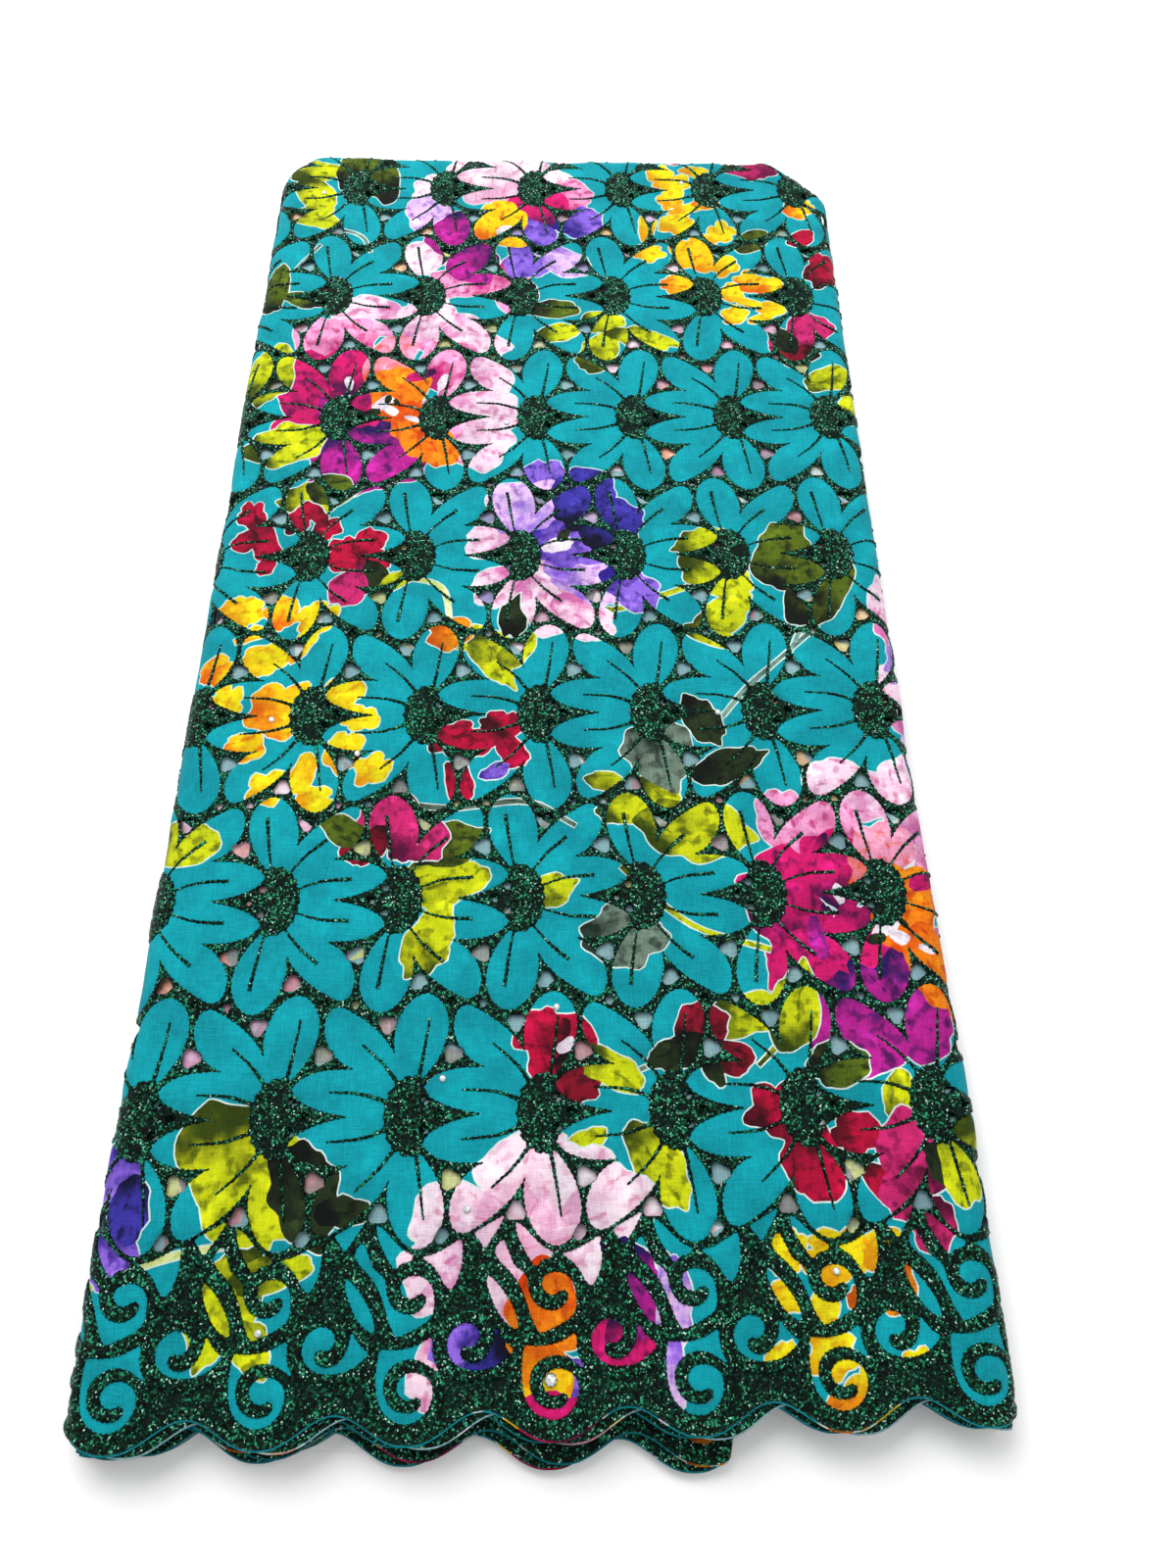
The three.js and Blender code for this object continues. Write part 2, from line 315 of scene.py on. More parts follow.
class Raster:
    """A map of whole numbers over the plan, to look up what lies at a point."""

    def __init__(self, low, high, cell):
        self.low, self.cell = np.array(low, float), cell
        columns, rows = np.ceil((np.array(high) - self.low) / cell).astype(int)
        self.map = np.zeros((rows, columns), np.int16)

    def inside(self, polygon):
        """Mask of the cells whose middles are in the polygon, and its window."""
        points = (np.asarray(polygon) - self.low) / self.cell - 0.5
        rows, columns = self.map.shape
        low = np.clip(np.floor(points.min(axis=0)).astype(int), 0, (columns, rows))
        high = np.clip(np.ceil(points.max(axis=0)).astype(int) + 1, 0, (columns, rows))
        window = (slice(low[1], high[1]), slice(low[0], high[0]))
        flips = np.zeros((high[1] - low[1], high[0] - low[0] + 1), bool)
        if not flips.size:
            return window, flips[:, :-1]
        ends = np.roll(points, -1, axis=0)
        for (x0, y0), (x1, y1) in zip(points, ends):
            if y0 == y1:
                continue
            first, last = sorted((y0, y1))
            lines = np.arange(max(math.ceil(first), low[1]), min(math.ceil(last), high[1]))
            if not len(lines):
                continue
            crossing = x0 + (lines - y0) * (x1 - x0) / (y1 - y0)
            column = np.clip(np.ceil(crossing).astype(int) - low[0], 0, flips.shape[1] - 1)
            flips[lines - low[1], column] ^= True
        return window, np.logical_xor.accumulate(flips, axis=1)[:, :-1]

    def paint(self, polygon, value):
        window, mask = self.inside(polygon)
        self.map[window][mask] = value

    def at(self, points):
        cells = np.floor((np.asarray(points) - self.low) / self.cell).astype(int)
        rows, columns = self.map.shape
        on_map = (cells >= 0).all(axis=1) & (cells < (columns, rows)).all(axis=1)
        values = np.zeros(len(cells), self.map.dtype)
        values[on_map] = self.map[cells[on_map, 1], cells[on_map, 0]]
        return values


PLAN_LOW, PLAN_HIGH = (-262.0, -424.0), (154.0, 346.0)
RASTER_CELL = 0.25

# Embroidery of one daisy, its spike pointing to +x, upper half. The field is the open
# cloth of its petals: each run ends at a sharp point of the thread round it.
FIELD_RUNS = (
    ((2.5, 14.8), (6.0, 19.0), (9.6, 24.8), (12.0, 31.5), (12.6, 38.5), (10.8, 44.6), (7.2, 48.8),
     (3.0, 50.4), (-1.6, 48.8), (-6.0, 44.2), (-8.9, 37.5), (-9.9, 31.0), (-9.3, 24.6)),
    ((-9.3, 24.6), (-11.8, 28.8), (-15.6, 33.4), (-21.2, 38.2), (-27.5, 42.4), (-33.0, 45.0),
     (-36.8, 44.0), (-38.8, 40.0), (-39.0, 34.4), (-37.0, 28.9), (-34.2, 24.8), (-30.4, 21.4),
     (-25.6, 18.9)),
    ((-25.6, 18.9), (-31.0, 18.9), (-37.5, 18.6), (-43.0, 17.2), (-47.6, 14.9), (-50.8, 11.4)),
    ((-50.8, 11.4), (-48.6, 7.8), (-44.8, 5.3), (-40.0, 3.2), (-34.5, 1.6), (-27.0, 0.2)),
)
BODY_LEFT = ((2.5, 14.8), (-3.5, 14.9), (-8.4, 11.6), (-11.2, 6.0), (-11.9, 0.0))
BODY_RIGHT = ((2.5, 14.8), (3.2, 11.4), (5.4, 7.8), (9.2, 5.3), (14.0, 3.2), (20.0, 1.4), (26.0, 0.0))
LOBES = 11
LOBE_RISE = 1.35
LOBE_STEP = 0.8
LOBE_ROUND = 0.7
LOBE_MIDDLE = (-1.0, 0.0)
STAMENS = (
    ((0.6, 13.5), (2.8, 26.0), (4.8, 40.0)),
    ((-6.4, 11.5), (-14.0, 21.0), (-22.8, 28.8)),
    ((-10.8, 5.2), (-22.0, 8.8), (-35.0, 9.8)),
)
# Cutwork of the upper half: x, y, angle of a corner, reach
CUTWORK = (
    (14.8, 25.0, 0.0, 4.3),
    (-13.0, 37.5, 30.0, 4.1),
)
SMALL_CUTWORK = (
    (13.8, 46.8, 90.0, 1.9),
    (3.8, 5.8, 20.0, 1.9),
)
SPIKE_HOLE = (9.6, 0.0, 0.0, 1.9)
BORDER_CUTWORK = (12.6, -46.2, 90.0, 3.3)
HOLE_BLUNT = 18.0
HOLE_CLEAR = 0.45
# Ends of the stitches along an edge: how far apart, and how far in and out
FIELD_TEETH = (1.25, 0.22)
WINDOW_TEETH = (1.0, 0.18)
TEETH_LENGTH, TEETH_SEED, TEETH_LEAST = 0.9, 3, 0.4
WINDOW_STEPS = 4
STAMEN_STEPS = 8

# Windows of open cloth in the border, for the scallop whose lowest point is SCALLOP_PHASE
BORDER_WINDOWS = {
    "ring": (
        (-9.5, -364.3), (-10.4, -368.0), (-10.7, -373.0), (-10.3, -378.0), (-9.0, -382.4), (-6.0, -386.0),
        (-2.0, -388.2), (2.5, -388.4), (6.5, -386.5), (9.2, -383.2), (10.3, -379.5), (10.0, -376.5),
        (8.6, -374.2), (6.0, -372.6), (2.5, -371.9), (-0.8, -373.0), (-2.8, -375.5), (-2.6, -378.0),
        (-0.9, -380.1), (1.6, -380.8), (4.2, -379.9), (5.9, -380.6), (6.2, -382.4), (4.8, -384.2),
        (1.8, -385.1), (-2.0, -384.7), (-5.3, -382.7), (-7.2, -379.7), (-7.9, -376.0), (-7.2, -372.6),
        (-5.0, -369.8), (-1.8, -368.0), (2.0, -367.4), (5.6, -368.1), (9.0, -369.9), (12.2, -371.8),
        (10.6, -368.3), (9.8, -364.8), (9.4, -360.4), (5.0, -362.5), (0.0, -363.9), (-5.0, -364.3)),
    "comma": (
        (21.0, -355.9), (18.0, -357.4), (15.8, -360.5), (15.4, -364.0), (16.6, -367.2), (19.0, -369.7),
        (22.5, -371.2), (27.0, -371.6), (31.0, -371.1), (35.0, -369.5), (38.4, -366.9), (40.0, -365.0),
        (37.5, -362.9), (35.2, -360.4), (33.4, -358.0), (32.8, -361.0), (32.0, -363.6), (30.4, -366.6),
        (28.0, -368.6), (25.0, -369.4), (22.0, -368.6), (20.2, -366.6), (20.4, -364.6), (22.0, -363.4),
        (24.0, -363.9), (26.0, -362.9), (27.3, -360.9), (27.0, -358.5), (25.5, -356.8), (23.5, -355.9)),
    "hook": (
        (-1.8, -340.2), (1.0, -339.0), (4.5, -339.2), (7.5, -341.0), (9.4, -344.0), (9.9, -348.0),
        (9.6, -352.0), (8.2, -354.3), (4.5, -356.6), (0.5, -358.4), (-3.8, -359.7), (-5.2, -358.0),
        (-6.6, -355.4), (-8.2, -351.0), (-9.9, -346.5), (-12.2, -342.0), (-15.4, -338.0), (-19.5, -334.0),
        (-21.0, -331.0), (-20.0, -328.4), (-18.0, -326.9), (-16.6, -329.5), (-15.0, -333.0),
        (-13.6, -336.0), (-10.6, -338.3), (-8.8, -340.6), (-8.3, -344.0), (-7.0, -347.8), (-4.6, -350.6),
        (-1.5, -352.0), (1.5, -352.3), (4.5, -351.2), (6.6, -348.9), (7.0, -346.7), (5.6, -345.2),
        (3.6, -345.6), (1.6, -346.8), (-0.8, -346.3), (-2.6, -344.6), (-3.0, -342.4)),
    "leaf": (
        (-23.6, -339.4), (-21.0, -341.4), (-17.5, -345.4), (-14.5, -350.0), (-12.6, -354.5), (-12.4, -358.2),
        (-15.0, -357.2), (-18.5, -354.0), (-21.2, -349.5), (-23.2, -345.0), (-24.1, -341.4)),
    "left_gap": (
        (-12.8, -320.6), (-9.5, -322.8), (-6.0, -326.4), (-2.2, -329.8), (1.4, -331.9), (0.4, -333.6),
        (-3.0, -334.4), (-5.4, -336.4), (-8.0, -333.3), (-10.5, -329.0), (-12.5, -324.8)),
    "right_gap": (
        (5.4, -332.2), (8.5, -331.6), (12.0, -330.2), (16.0, -328.1), (19.7, -326.4), (20.3, -331.0),
        (20.0, -336.0), (18.3, -341.0), (16.0, -343.9), (13.5, -341.8), (11.5, -338.4), (9.0, -335.4),
        (6.4, -333.6)),
    "top_gap": (
        (25.0, -324.2), (29.0, -321.7), (33.0, -319.6), (36.4, -318.0), (34.5, -322.0), (31.5, -326.4),
        (29.0, -329.6), (27.0, -327.0)),
}
BORDER_TOP = -331.0


def mirrored(points):
    """The lower half of what is drawn for the upper half of a daisy."""
    return np.asarray(points, float) * (1.0, -1.0)


def daisy_field():
    """The open cloth round a daisy: its petals' tips, then the lobes of its body."""
    upper = [spline(run) for run in FIELD_RUNS]
    lower = [mirrored(run)[::-1] for run in reversed(upper)]
    left = spline(BODY_LEFT + tuple((x, -y) for x, y in reversed(BODY_LEFT[:-1])))
    left = resampled(left, LOBE_STEP)
    share = np.linspace(0, 1, len(left))
    lobe = LOBE_RISE * np.abs(np.sin(math.pi * LOBES * share)) ** LOBE_ROUND
    left = left + unit_rows(left - LOBE_MIDDLE) * lobe[:, None]
    return np.vstack([run[:-1] for run in upper + lower] + [left[::-1][:-1]])


def daisy_body():
    right = spline(BODY_RIGHT)
    left = spline(BODY_LEFT)
    upper = np.vstack([left[::-1], right[1:]])
    return np.vstack([upper, mirrored(upper)[::-1][1:-1]])


def blunt_triangle(x, y, angle, reach):
    corners = []
    for corner in range(3):
        for side in (-HOLE_BLUNT, 0.0, HOLE_BLUNT):
            radians = math.radians(angle + corner * 120.0 + side)
            corners.append((x + reach * math.cos(radians), y + reach * math.sin(radians)))
    return np.array(corners)


def daisies():
    """Middle of every daisy, its facing, and whether its row is the last before the border."""
    middle = (ROW_COUNT - 1) / 2
    for row in range(ROW_COUNT):
        facing = 1 if row % 2 == 0 else -1
        shift = 0.0 if row % 2 == 0 else -ODD_ROW_SHIFT
        for column in COLUMNS:
            centre = np.array([column * DAISY_PITCH + shift, (row - middle) * ROW_PITCH])
            yield centre, facing, row == 0


def laid(points, centre, facing):
    """A daisy's own points on the plan: rows alternate in facing."""
    points = np.asarray(points, float) * (facing, 1.0) + centre
    return points if facing == 1 else points[::-1]


def outward(loop):
    """Unit vectors that point out of a closed loop at its points."""
    ahead = np.roll(loop, -1, axis=0) - np.roll(loop, 1, axis=0)
    normal = unit_rows(np.stack([ahead[:, 1], -ahead[:, 0]], axis=1), 1e-6)
    x, y = loop.T
    turns_left = (x * np.roll(y, -1) - y * np.roll(x, -1)).sum() > 0
    return normal if turns_left else -normal


def ring_of(loop, step):
    """A closed loop with its points a step apart."""
    return resampled(np.vstack([loop, loop[:1]]), step)[:-1]


def toothed(outline, step, bite):
    """An outline of stitch ends, which stand alternately in and out."""
    ring = ring_of(outline, step)
    chance = lattice_noise(*ring.T, TEETH_LENGTH, TEETH_SEED)
    tooth = np.where(np.arange(len(ring)) % 2 == 0, bite, -bite) * (TEETH_LEAST + chance)
    return ring + outward(ring) * tooth[:, None]


def embroidery_plan():
    """Outlines of the open cloth, the cut holes, the daisies' bodies, their stamens and the
    windows of the border."""
    field, body = daisy_field(), daisy_body()
    fields, holes, bodies, stamens, windows = [], [], [], [], []
    for centre, facing, last_row in daisies():
        fields.append(toothed(laid(field, centre, facing), *FIELD_TEETH))
        bodies.append(laid(body, centre, facing))
        marks = [SPIKE_HOLE]
        for x, y, angle, reach in CUTWORK + SMALL_CUTWORK:
            marks += [(x, y, angle, reach), (x, -y, -angle, reach)]
        if last_row:
            marks = [mark for mark in marks if mark[1] > -SMALL_CUTWORK[0][1]] + [BORDER_CUTWORK]
        holes += [laid(blunt_triangle(*mark), centre, facing) for mark in marks]
        for line in STAMENS:
            upper = spline(line, STAMEN_STEPS)
            stamens += [laid(upper, centre, facing), laid(mirrored(upper), centre, facing)]
    for column in COLUMNS:
        for window in BORDER_WINDOWS.values():
            outline = closed_spline(np.asarray(window) + (column * DAISY_PITCH, 0.0), WINDOW_STEPS)
            windows.append(toothed(outline, *WINDOW_TEETH))
    return fields, holes, bodies, stamens, windows


fields, holes, bodies, stamens, border_windows = embroidery_plan()
fields += border_windows
THREAD, OPEN_CLOTH, HOLE, BODY = 1, 2, 3, 4
STITCHES = Raster(PLAN_LOW, PLAN_HIGH, RASTER_CELL)
STITCHES.map[:] = THREAD
for kind, outlines in ((BODY, bodies), (OPEN_CLOTH, fields), (HOLE, holes)):
    for outline in outlines:
        STITCHES.paint(outline, kind)
# The cloth is cut a little wider than the stitches that bind each hole
cloth_holes = [outline + outward(outline) * HOLE_CLEAR for outline in holes]
CUT = Raster(PLAN_LOW, PLAN_HIGH, RASTER_CELL)
for outline in cloth_holes:
    CUT.paint(outline, 1)


# Printed flowers

# Watercolours of the ground and of each ink: at a shape's foot, at its tip, and its veins
GROUND = ("#048490", "#069AA6", "#03727E")
INKS = {
    "pale": ("#B85A92", "#E0BED0", "#A41554"),
    "blush": ("#C68CAA", "#E0C8D4", "#AE2058"),
    "pink": ("#A0105A", "#DE8AB6", "#960A46"),
    "magenta": ("#2C0636", "#BA1058", "#140322"),
    "purple": ("#1A0C46", "#A0187A", "#0C052A"),
    "orange": ("#BC3402", "#DE740A", "#7C2002"),
    "coral": ("#D04A0C", "#DC86A4", "#A83006"),
    "violet": ("#20146E", "#7A56C4", "#120A4C"),
    "navy": ("#06071C", "#322A8C", "#030410"),
    "lilac": ("#6E4AB4", "#CFA8D8", "#8A2A78"),
    "yellow": ("#C88004", "#D8C60C", "#A06804"),
    "gold": ("#CC5602", "#DCB208", "#A04002"),
    "amber": ("#AC4402", "#D87E08", "#783002"),
    "crimson": ("#32040F", "#A2062E", "#1C020A"),
    "rose": ("#480629", "#B41E5C", "#2C0318"),
    "wine": ("#10030A", "#70081C", "#080104"),
    "lime": ("#2A3604", "#B6BE0A", "#3A4A04"),
    "moss": ("#0A0F08", "#46560E", "#060A04"),
    "dark": ("#050807", "#1C2812", "#020303"),
    "grey": ("#18241E", "#5E7062", "#0E1612"),
    "white": ("#B8A6B4", "#D8CED6", "#A08098"),
    "straw": ("#A4B45A", "#CDD28A", "#7E8E40"),
    "sprig": ("#3A5650", "#6A8A7E", "#26403A"),
}

# Each spray: the ink and form, then x, y, length, width and angle of its shapes
PEONY = (
    ("pale", "petal", (-147, 168, 46, 30, 165), (-100, 150, 58, 38, -35), (-88, 122, 40, 32, -20),
     (-92, 100, 48, 34, -10), (-95, 76, 50, 34, -25), (-120, 166, 44, 30, 75)),
    ("pink", "petal", (-178, 150, 40, 28, 110), (-160, 150, 36, 26, 100), (-108, 132, 38, 30, 70),
     (-112, 88, 34, 26, -40)),
    ("magenta", "petal", (-184, 112, 58, 34, 100), (-160, 128, 40, 30, 95), (-172, 84, 48, 38, 200),
     (-150, 96, 44, 34, 230)),
    ("purple", "petal", (-160, 60, 48, 36, 270), (-137, 68, 46, 36, 290)),
    ("coral", "petal", (-140, 134, 42, 26, 60),),
    ("orange", "petal", (-132, 110, 42, 32, 80), (-121, 86, 38, 30, -60), (-111, 72, 28, 22, -70)),
    ("magenta", "petal", (-168, 104, 20, 9, 260), (-120, 124, 18, 8, 200), (-166, 140, 16, 7, 250)),
    ("purple", "petal", (-152, 76, 26, 13, 300), (-172, 98, 22, 8, 280)),
    ("white", "petal", (-141, 103, 14, 8, 40), (-136, 98, 10, 6, -30), (-160, 118, 11, 5, 100),
     (-124, 92, 9, 4, 340), (-108, 118, 13, 6, 70)),
    ("dark", "petal", (-146, 97, 9, 5, 10), (-138, 106, 7, 4, 80), (-133, 104, 6, 3, 120)),
)
PEONY_PLACES = ((0.0, 0.0), (237.0, -305.0))

BACK_BLOOM = (
    ("blush", "petal", (-85, 292, 52, 48, 90), (-60, 285, 46, 42, 60), (-120, 272, 38, 20, 95),
     (-120, 220, 30, 26, 220)),
    ("lilac", "petal", (-118, 250, 42, 26, 110),),
    ("pink", "petal", (-95, 198, 46, 24, 190), (-70, 195, 42, 26, 280), (-35, 272, 28, 28, 30)),
    ("purple", "petal", (-105, 240, 46, 30, 240), (-92, 215, 40, 30, 250)),
    ("magenta", "petal", (-55, 258, 42, 34, 85),),
    ("violet", "petal", (-30, 248, 30, 26, 10), (-62, 238, 34, 30, 300), (-60, 218, 32, 28, 270)),
    ("lilac", "petal", (-40, 215, 36, 22, 320),),
    ("gold", "petal", (-78, 248, 36, 30, 80), (-70, 232, 18, 12, 0)),
    ("white", "petal", (-74, 242, 12, 7, 20),),
)
MIDDLE_BLOOM = (
    ("violet", "petal", (-52, 50, 24, 22, 90),),
    ("pale", "petal", (-78, 10, 30, 24, 170), (-75, -18, 30, 22, 210), (-50, -28, 42, 28, -75),
     (-35, -38, 36, 22, -40), (-52, -2, 32, 26, 330)),
    ("lilac", "petal", (-68, 28, 38, 26, 100), (-50, 25, 46, 32, 60), (-30, -15, 46, 26, -20)),
    ("violet", "petal", (-40, 8, 42, 32, 10), (-10, -20, 34, 22, -35)),
    ("navy", "petal", (-33, 35, 42, 30, 70), (-18, 18, 38, 28, 50)),
    ("white", "petal", (-46, 6, 16, 9, 20),),
    ("dark", "petal", (-43, 12, 10, 6, 60),),
)
HEM_BLOOM = (
    ("blush", "petal", (-62, -308, 46, 38, 100), (-45, -312, 42, 34, 60), (-90, -318, 34, 26, 170),
     (-30, -316, 36, 26, 20), (-68, -340, 62, 38, 250), (-45, -335, 46, 26, 0)),
    ("pale", "petal", (-96, -337, 30, 28, 200), (-97, -372, 26, 19, 255)),
    ("violet", "petal", (-85, -362, 28, 26, 200), (-45, -380, 24, 20, 300)),
    ("navy", "petal", (-77, -372, 26, 18, 240),),
    ("orange", "petal", (-57, -352, 36, 28, 270),),
    ("gold", "petal", (-60, -377, 36, 26, 265),),
    ("magenta", "petal", (-33, -362, 30, 24, 300), (-52, -390, 32, 20, 180), (-22, -364, 24, 22, 320)),
    ("purple", "petal", (-20, -345, 40, 22, 300),),
    ("lilac", "petal", (-7, -350, 36, 14, 270), (-9, -377, 28, 10, 265)),
)
FLORETS = (
    ("yellow", "floret", (30, 285, 24, 19, 10), (22, 294, 19, 16, 40), (28, 270, 22, 17, 70),
     (30, 248, 24, 19, 30), (12, 222, 20, 17, 15), (57, 240, 21, 18, 50), (57, 212, 22, 18, 80),
     (83, 195, 19, 15, 20), (60, 189, 18, 15, 65), (82, 176, 18, 14, 10), (60, 171, 18, 15, 50)),
    ("yellow", "petal", (12, 245, 26, 10, 80), (38, 262, 26, 8, 20), (66, 182, 22, 6, 340),
     (74, 168, 16, 7, 20), (44, 296, 18, 9, 350)),
    ("gold", "floret", (50, 268, 20, 16, 20), (40, 222, 36, 32, 40), (28, 196, 22, 18, 0),
     (72, 197, 19, 22, 60), (107, 262, 22, 18, 30)),
    ("yellow", "floret", (-203, -34, 24, 20, 10), (-166, -38, 24, 20, 50), (-190, -62, 28, 19, 20),
     (-206, -86, 22, 17, 70), (-150, -80, 22, 19, 40), (-141, -95, 20, 15, 0), (-181, -131, 22, 18, 30),
     (-160, -138, 20, 16, 15), (-148, -113, 24, 20, 80), (-134, -122, 20, 16, 45)),
    ("yellow", "petal", (-166, -124, 24, 12, 250), (-172, -54, 22, 9, 60), (-198, -48, 16, 8, 30)),
    ("gold", "floret", (-183, -35, 22, 18, 70), (-212, -68, 20, 16, 45), (-178, -90, 38, 32, 20),
     (-194, -110, 22, 18, 10)),
    ("yellow", "floret", (58, -336, 30, 22, 10), (38, -334, 20, 16, 50), (77, -334, 20, 18, 30),
     (36, -350, 17, 13, 0), (49, -358, 20, 15, 70), (33, -372, 17, 13, 40), (52, -371, 22, 16, 20),
     (66, -383, 26, 20, 60), (84, -374, 15, 11, 30)),
    ("amber", "floret", (54, -390, 20, 14, 10), (66, -352, 12, 12, 0)),
    ("amber", "petal", (80, -345, 26, 15, 270),),
    ("lime", "leaf", (-178, -348, 46, 24, 250), (-161, -337, 32, 13, 12), (-166, -362, 24, 14, 300)),
    ("amber", "floret", (-100, -48, 24, 20, 20),),
)
REDS = (
    ("crimson", "floret", (-204, 26, 19, 15, 90), (-180, 23, 24, 14, 60), (-165, 17, 18, 13, 20),
     (-97, -106, 24, 18, 30), (-74, -99, 22, 17, 0), (40, -280, 28, 24, 20), (72, -290, 22, 18, 10),
     (115, 208, 34, 22, 80)),
    ("crimson", "petal", (-197, 11, 30, 14, 290), (-206, 10, 16, 11, 230), (-171, 26, 20, 9, 130),
     (-194, -5, 14, 9, 250), (-70, -112, 20, 13, 300), (-94, -128, 24, 13, 280), (-84, -108, 26, 13, 200),
     (52, -297, 36, 24, 280), (78, -308, 16, 11, 300), (105, 235, 18, 12, 40)),
    ("rose", "petal", (80, 302, 34, 26, 150), (30, 308, 14, 10, 0)),
    ("violet", "petal", (-77, -124, 14, 8, 20),),
    ("crimson", "petal", (-151, 0, 27, 20, 165), (-143, 7, 20, 16, 60), (-140, -4, 18, 13, 20)),
    ("rose", "petal", (-151, -19, 24, 18, 230), (-143, -14, 18, 12, 280)),
    ("dark", "petal", (-138, -12, 22, 12, 300),),
    ("lime", "leaf", (-128, -16, 20, 10, 30),),
    ("rose", "petal", (100, 157, 34, 26, 60), (92, 146, 28, 22, 150)),
    ("wine", "petal", (95, 140, 26, 16, 200),),
    ("dark", "leaf", (86, 152, 26, 14, 120),),
    ("rose", "petal", (-122, -150, 34, 28, 120), (-112, -158, 28, 22, 20)),
    ("wine", "petal", (-134, -160, 24, 16, 220),),
    ("moss", "leaf", (-144, -153, 28, 14, 150),),
    ("crimson", "petal", (-48, -256, 36, 28, 100), (-56, -246, 26, 20, 170)),
    ("wine", "petal", (-42, -264, 24, 16, 300),),
    ("white", "petal", (-46, -252, 10, 6, 30),),
    ("lime", "leaf", (-28, -262, 32, 16, 330),),
    ("wine", "petal", (10, -248, 28, 20, 60), (22, -258, 20, 14, 330)),
    ("dark", "leaf", (0, -256, 28, 14, 200), (15, -264, 14, 8, 300)),
    ("rose", "petal", (95, -298, 34, 28, 120), (90, -312, 24, 18, 220), (98, -326, 22, 16, 250)),
    ("dark", "petal", (104, -302, 18, 12, 300),),
    ("lime", "leaf", (114, -302, 38, 20, 260),),
    ("violet", "petal", (-225, -300, 34, 22, 250), (-222, -328, 28, 18, 280)),
    ("navy", "petal", (-218, -312, 26, 16, 260),),
    ("pale", "petal", (122, -34, 44, 20, 80), (123, -90, 46, 26, 105)),
    ("lilac", "petal", (126, -60, 38, 18, 60), (127, -112, 36, 18, 80)),
)
LEAVES = (
    ("lime", "leaf", (-192, 293, 32, 20, 10), (-190, 272, 38, 22, -60), (-190, 252, 30, 18, -20),
     (-205, 125, 48, 28, 80), (-192, 73, 44, 30, 20), (-175, 35, 32, 22, 0), (-43, 157, 28, 14, 20),
     (-18, 165, 28, 18, 0), (-20, 143, 40, 20, 60), (5, 152, 40, 16, -15), (112, 122, 34, 18, 20),
     (118, 100, 24, 14, 80), (28, 8, 30, 16, 20), (35, -12, 40, 26, -30), (37, -38, 38, 20, 40),
     (30, -50, 28, 12, -20)),
    ("lime", "leaf", (-90, -50, 34, 14, 0), (-80, -62, 40, 16, -55), (-67, -58, 28, 14, 50),
     (-25, -130, 22, 10, -10), (-15, -140, 32, 20, 30), (0, -137, 30, 14, -50), (15, -155, 52, 32, -10),
     (-100, -178, 44, 24, 15), (-105, -205, 38, 20, 60), (-52, -183, 26, 16, 20), (-215, -158, 34, 24, 0),
     (32, -240, 44, 18, 15), (52, -238, 40, 22, 75), (-175, -300, 64, 46, -60), (-10, -300, 40, 20, -60),
     (92, -277, 24, 16, 80), (-40, -292, 24, 10, 30)),
    ("moss", "leaf", (-168, 300, 48, 20, 80), (-152, 292, 56, 24, 100), (-208, 192, 40, 18, 80),
     (-190, 183, 28, 12, 170), (-45, 175, 32, 14, 0), (-165, 42, 28, 22, 0), (70, 0, 48, 30, 70),
     (88, -20, 54, 32, 60), (-98, -160, 38, 22, 20), (75, 232, 28, 16, 40), (68, -262, 26, 22, 0)),
    ("dark", "leaf", (22, -98, 30, 18, -60), (32, -122, 38, 16, 20), (-150, -308, 44, 28, -70),
     (-135, -315, 24, 12, 0), (-68, -35, 30, 16, 80)),
    ("grey", "leaf", (0, -115, 40, 32, -70), (-20, -205, 38, 28, 0)),
)
# Each stem: its ink, its width, then the points that it passes
STEMS = (
    ("straw", 2.6, (-130, -12), (-105, -20), (-100, -40)),
    ("lime", 2.8, (-40, -30), (-18, -34), (0, -28), (20, -20)),
    ("grey", 2.4, (-128, -138), (-100, -142), (-60, -140), (-40, -152)),
    ("lime", 2.4, (-20, -172), (10, -200), (44, -212)),
    ("sprig", 2.2, (84, -44), (60, -66), (45, -80), (30, -98)),
    ("sprig", 2.0, (80, -22), (75, -45), (66, -64)),
    ("straw", 2.6, (-232, -340), (-200, -330), (-168, -325)),
    ("sprig", 2.0, (-178, 244), (-160, 235), (-154, 222)),
    ("sprig", 1.8, (-184, 228), (-190, 219), (-197, 208)),
    ("lime", 2.0, (-12, 160), (-2, 154), (6, 150)),
    ("grey", 2.0, (-30, -268), (-14, -262), (2, -256)),
    ("lime", 2.2, (34, -262), (44, -252), (50, -240)),
)
HALO = 0.62
HALO_COLOUR = "#BCCDC6"
SHAPE_STEP = 2.0
SHAPE_POINTS = (12, 60)
# Forms of the shapes: how pointed their sides are, and how much wider at the tip
FORMS = {"petal": (0.8, 0.22), "leaf": (1.35, -0.12)}
FLORET_LOBES = 5
FLORET_WAIST = 0.74
FLORET_ROUND = 0.7
# How far an outline wanders, as a share of its size, and in how many waves
WANDER = 0.34
WANDER_WAVES = 6
STEM_STEPS = 6
NO_LINE = (0.0,) * 6


def unit_shape(form, steps):
    """A printed shape one unit long and wide, from its foot at -0.5 to its tip at 0.5."""
    turn = np.linspace(0, 2 * math.pi, steps, endpoint=False)
    across, along = np.sin(turn), -np.cos(turn)
    if form == "floret":
        lobes = np.abs(np.cos(FLORET_LOBES / 2 * turn)) ** FLORET_ROUND
        swell = FLORET_WAIST + (1 - FLORET_WAIST) * lobes
        return np.stack([along * swell, across * swell], axis=1) / 2
    pointed, wider = FORMS[form]
    width = np.abs(across) ** pointed * (1 + wider * along)
    return np.stack([along, np.sign(across) * width], axis=1) / 2


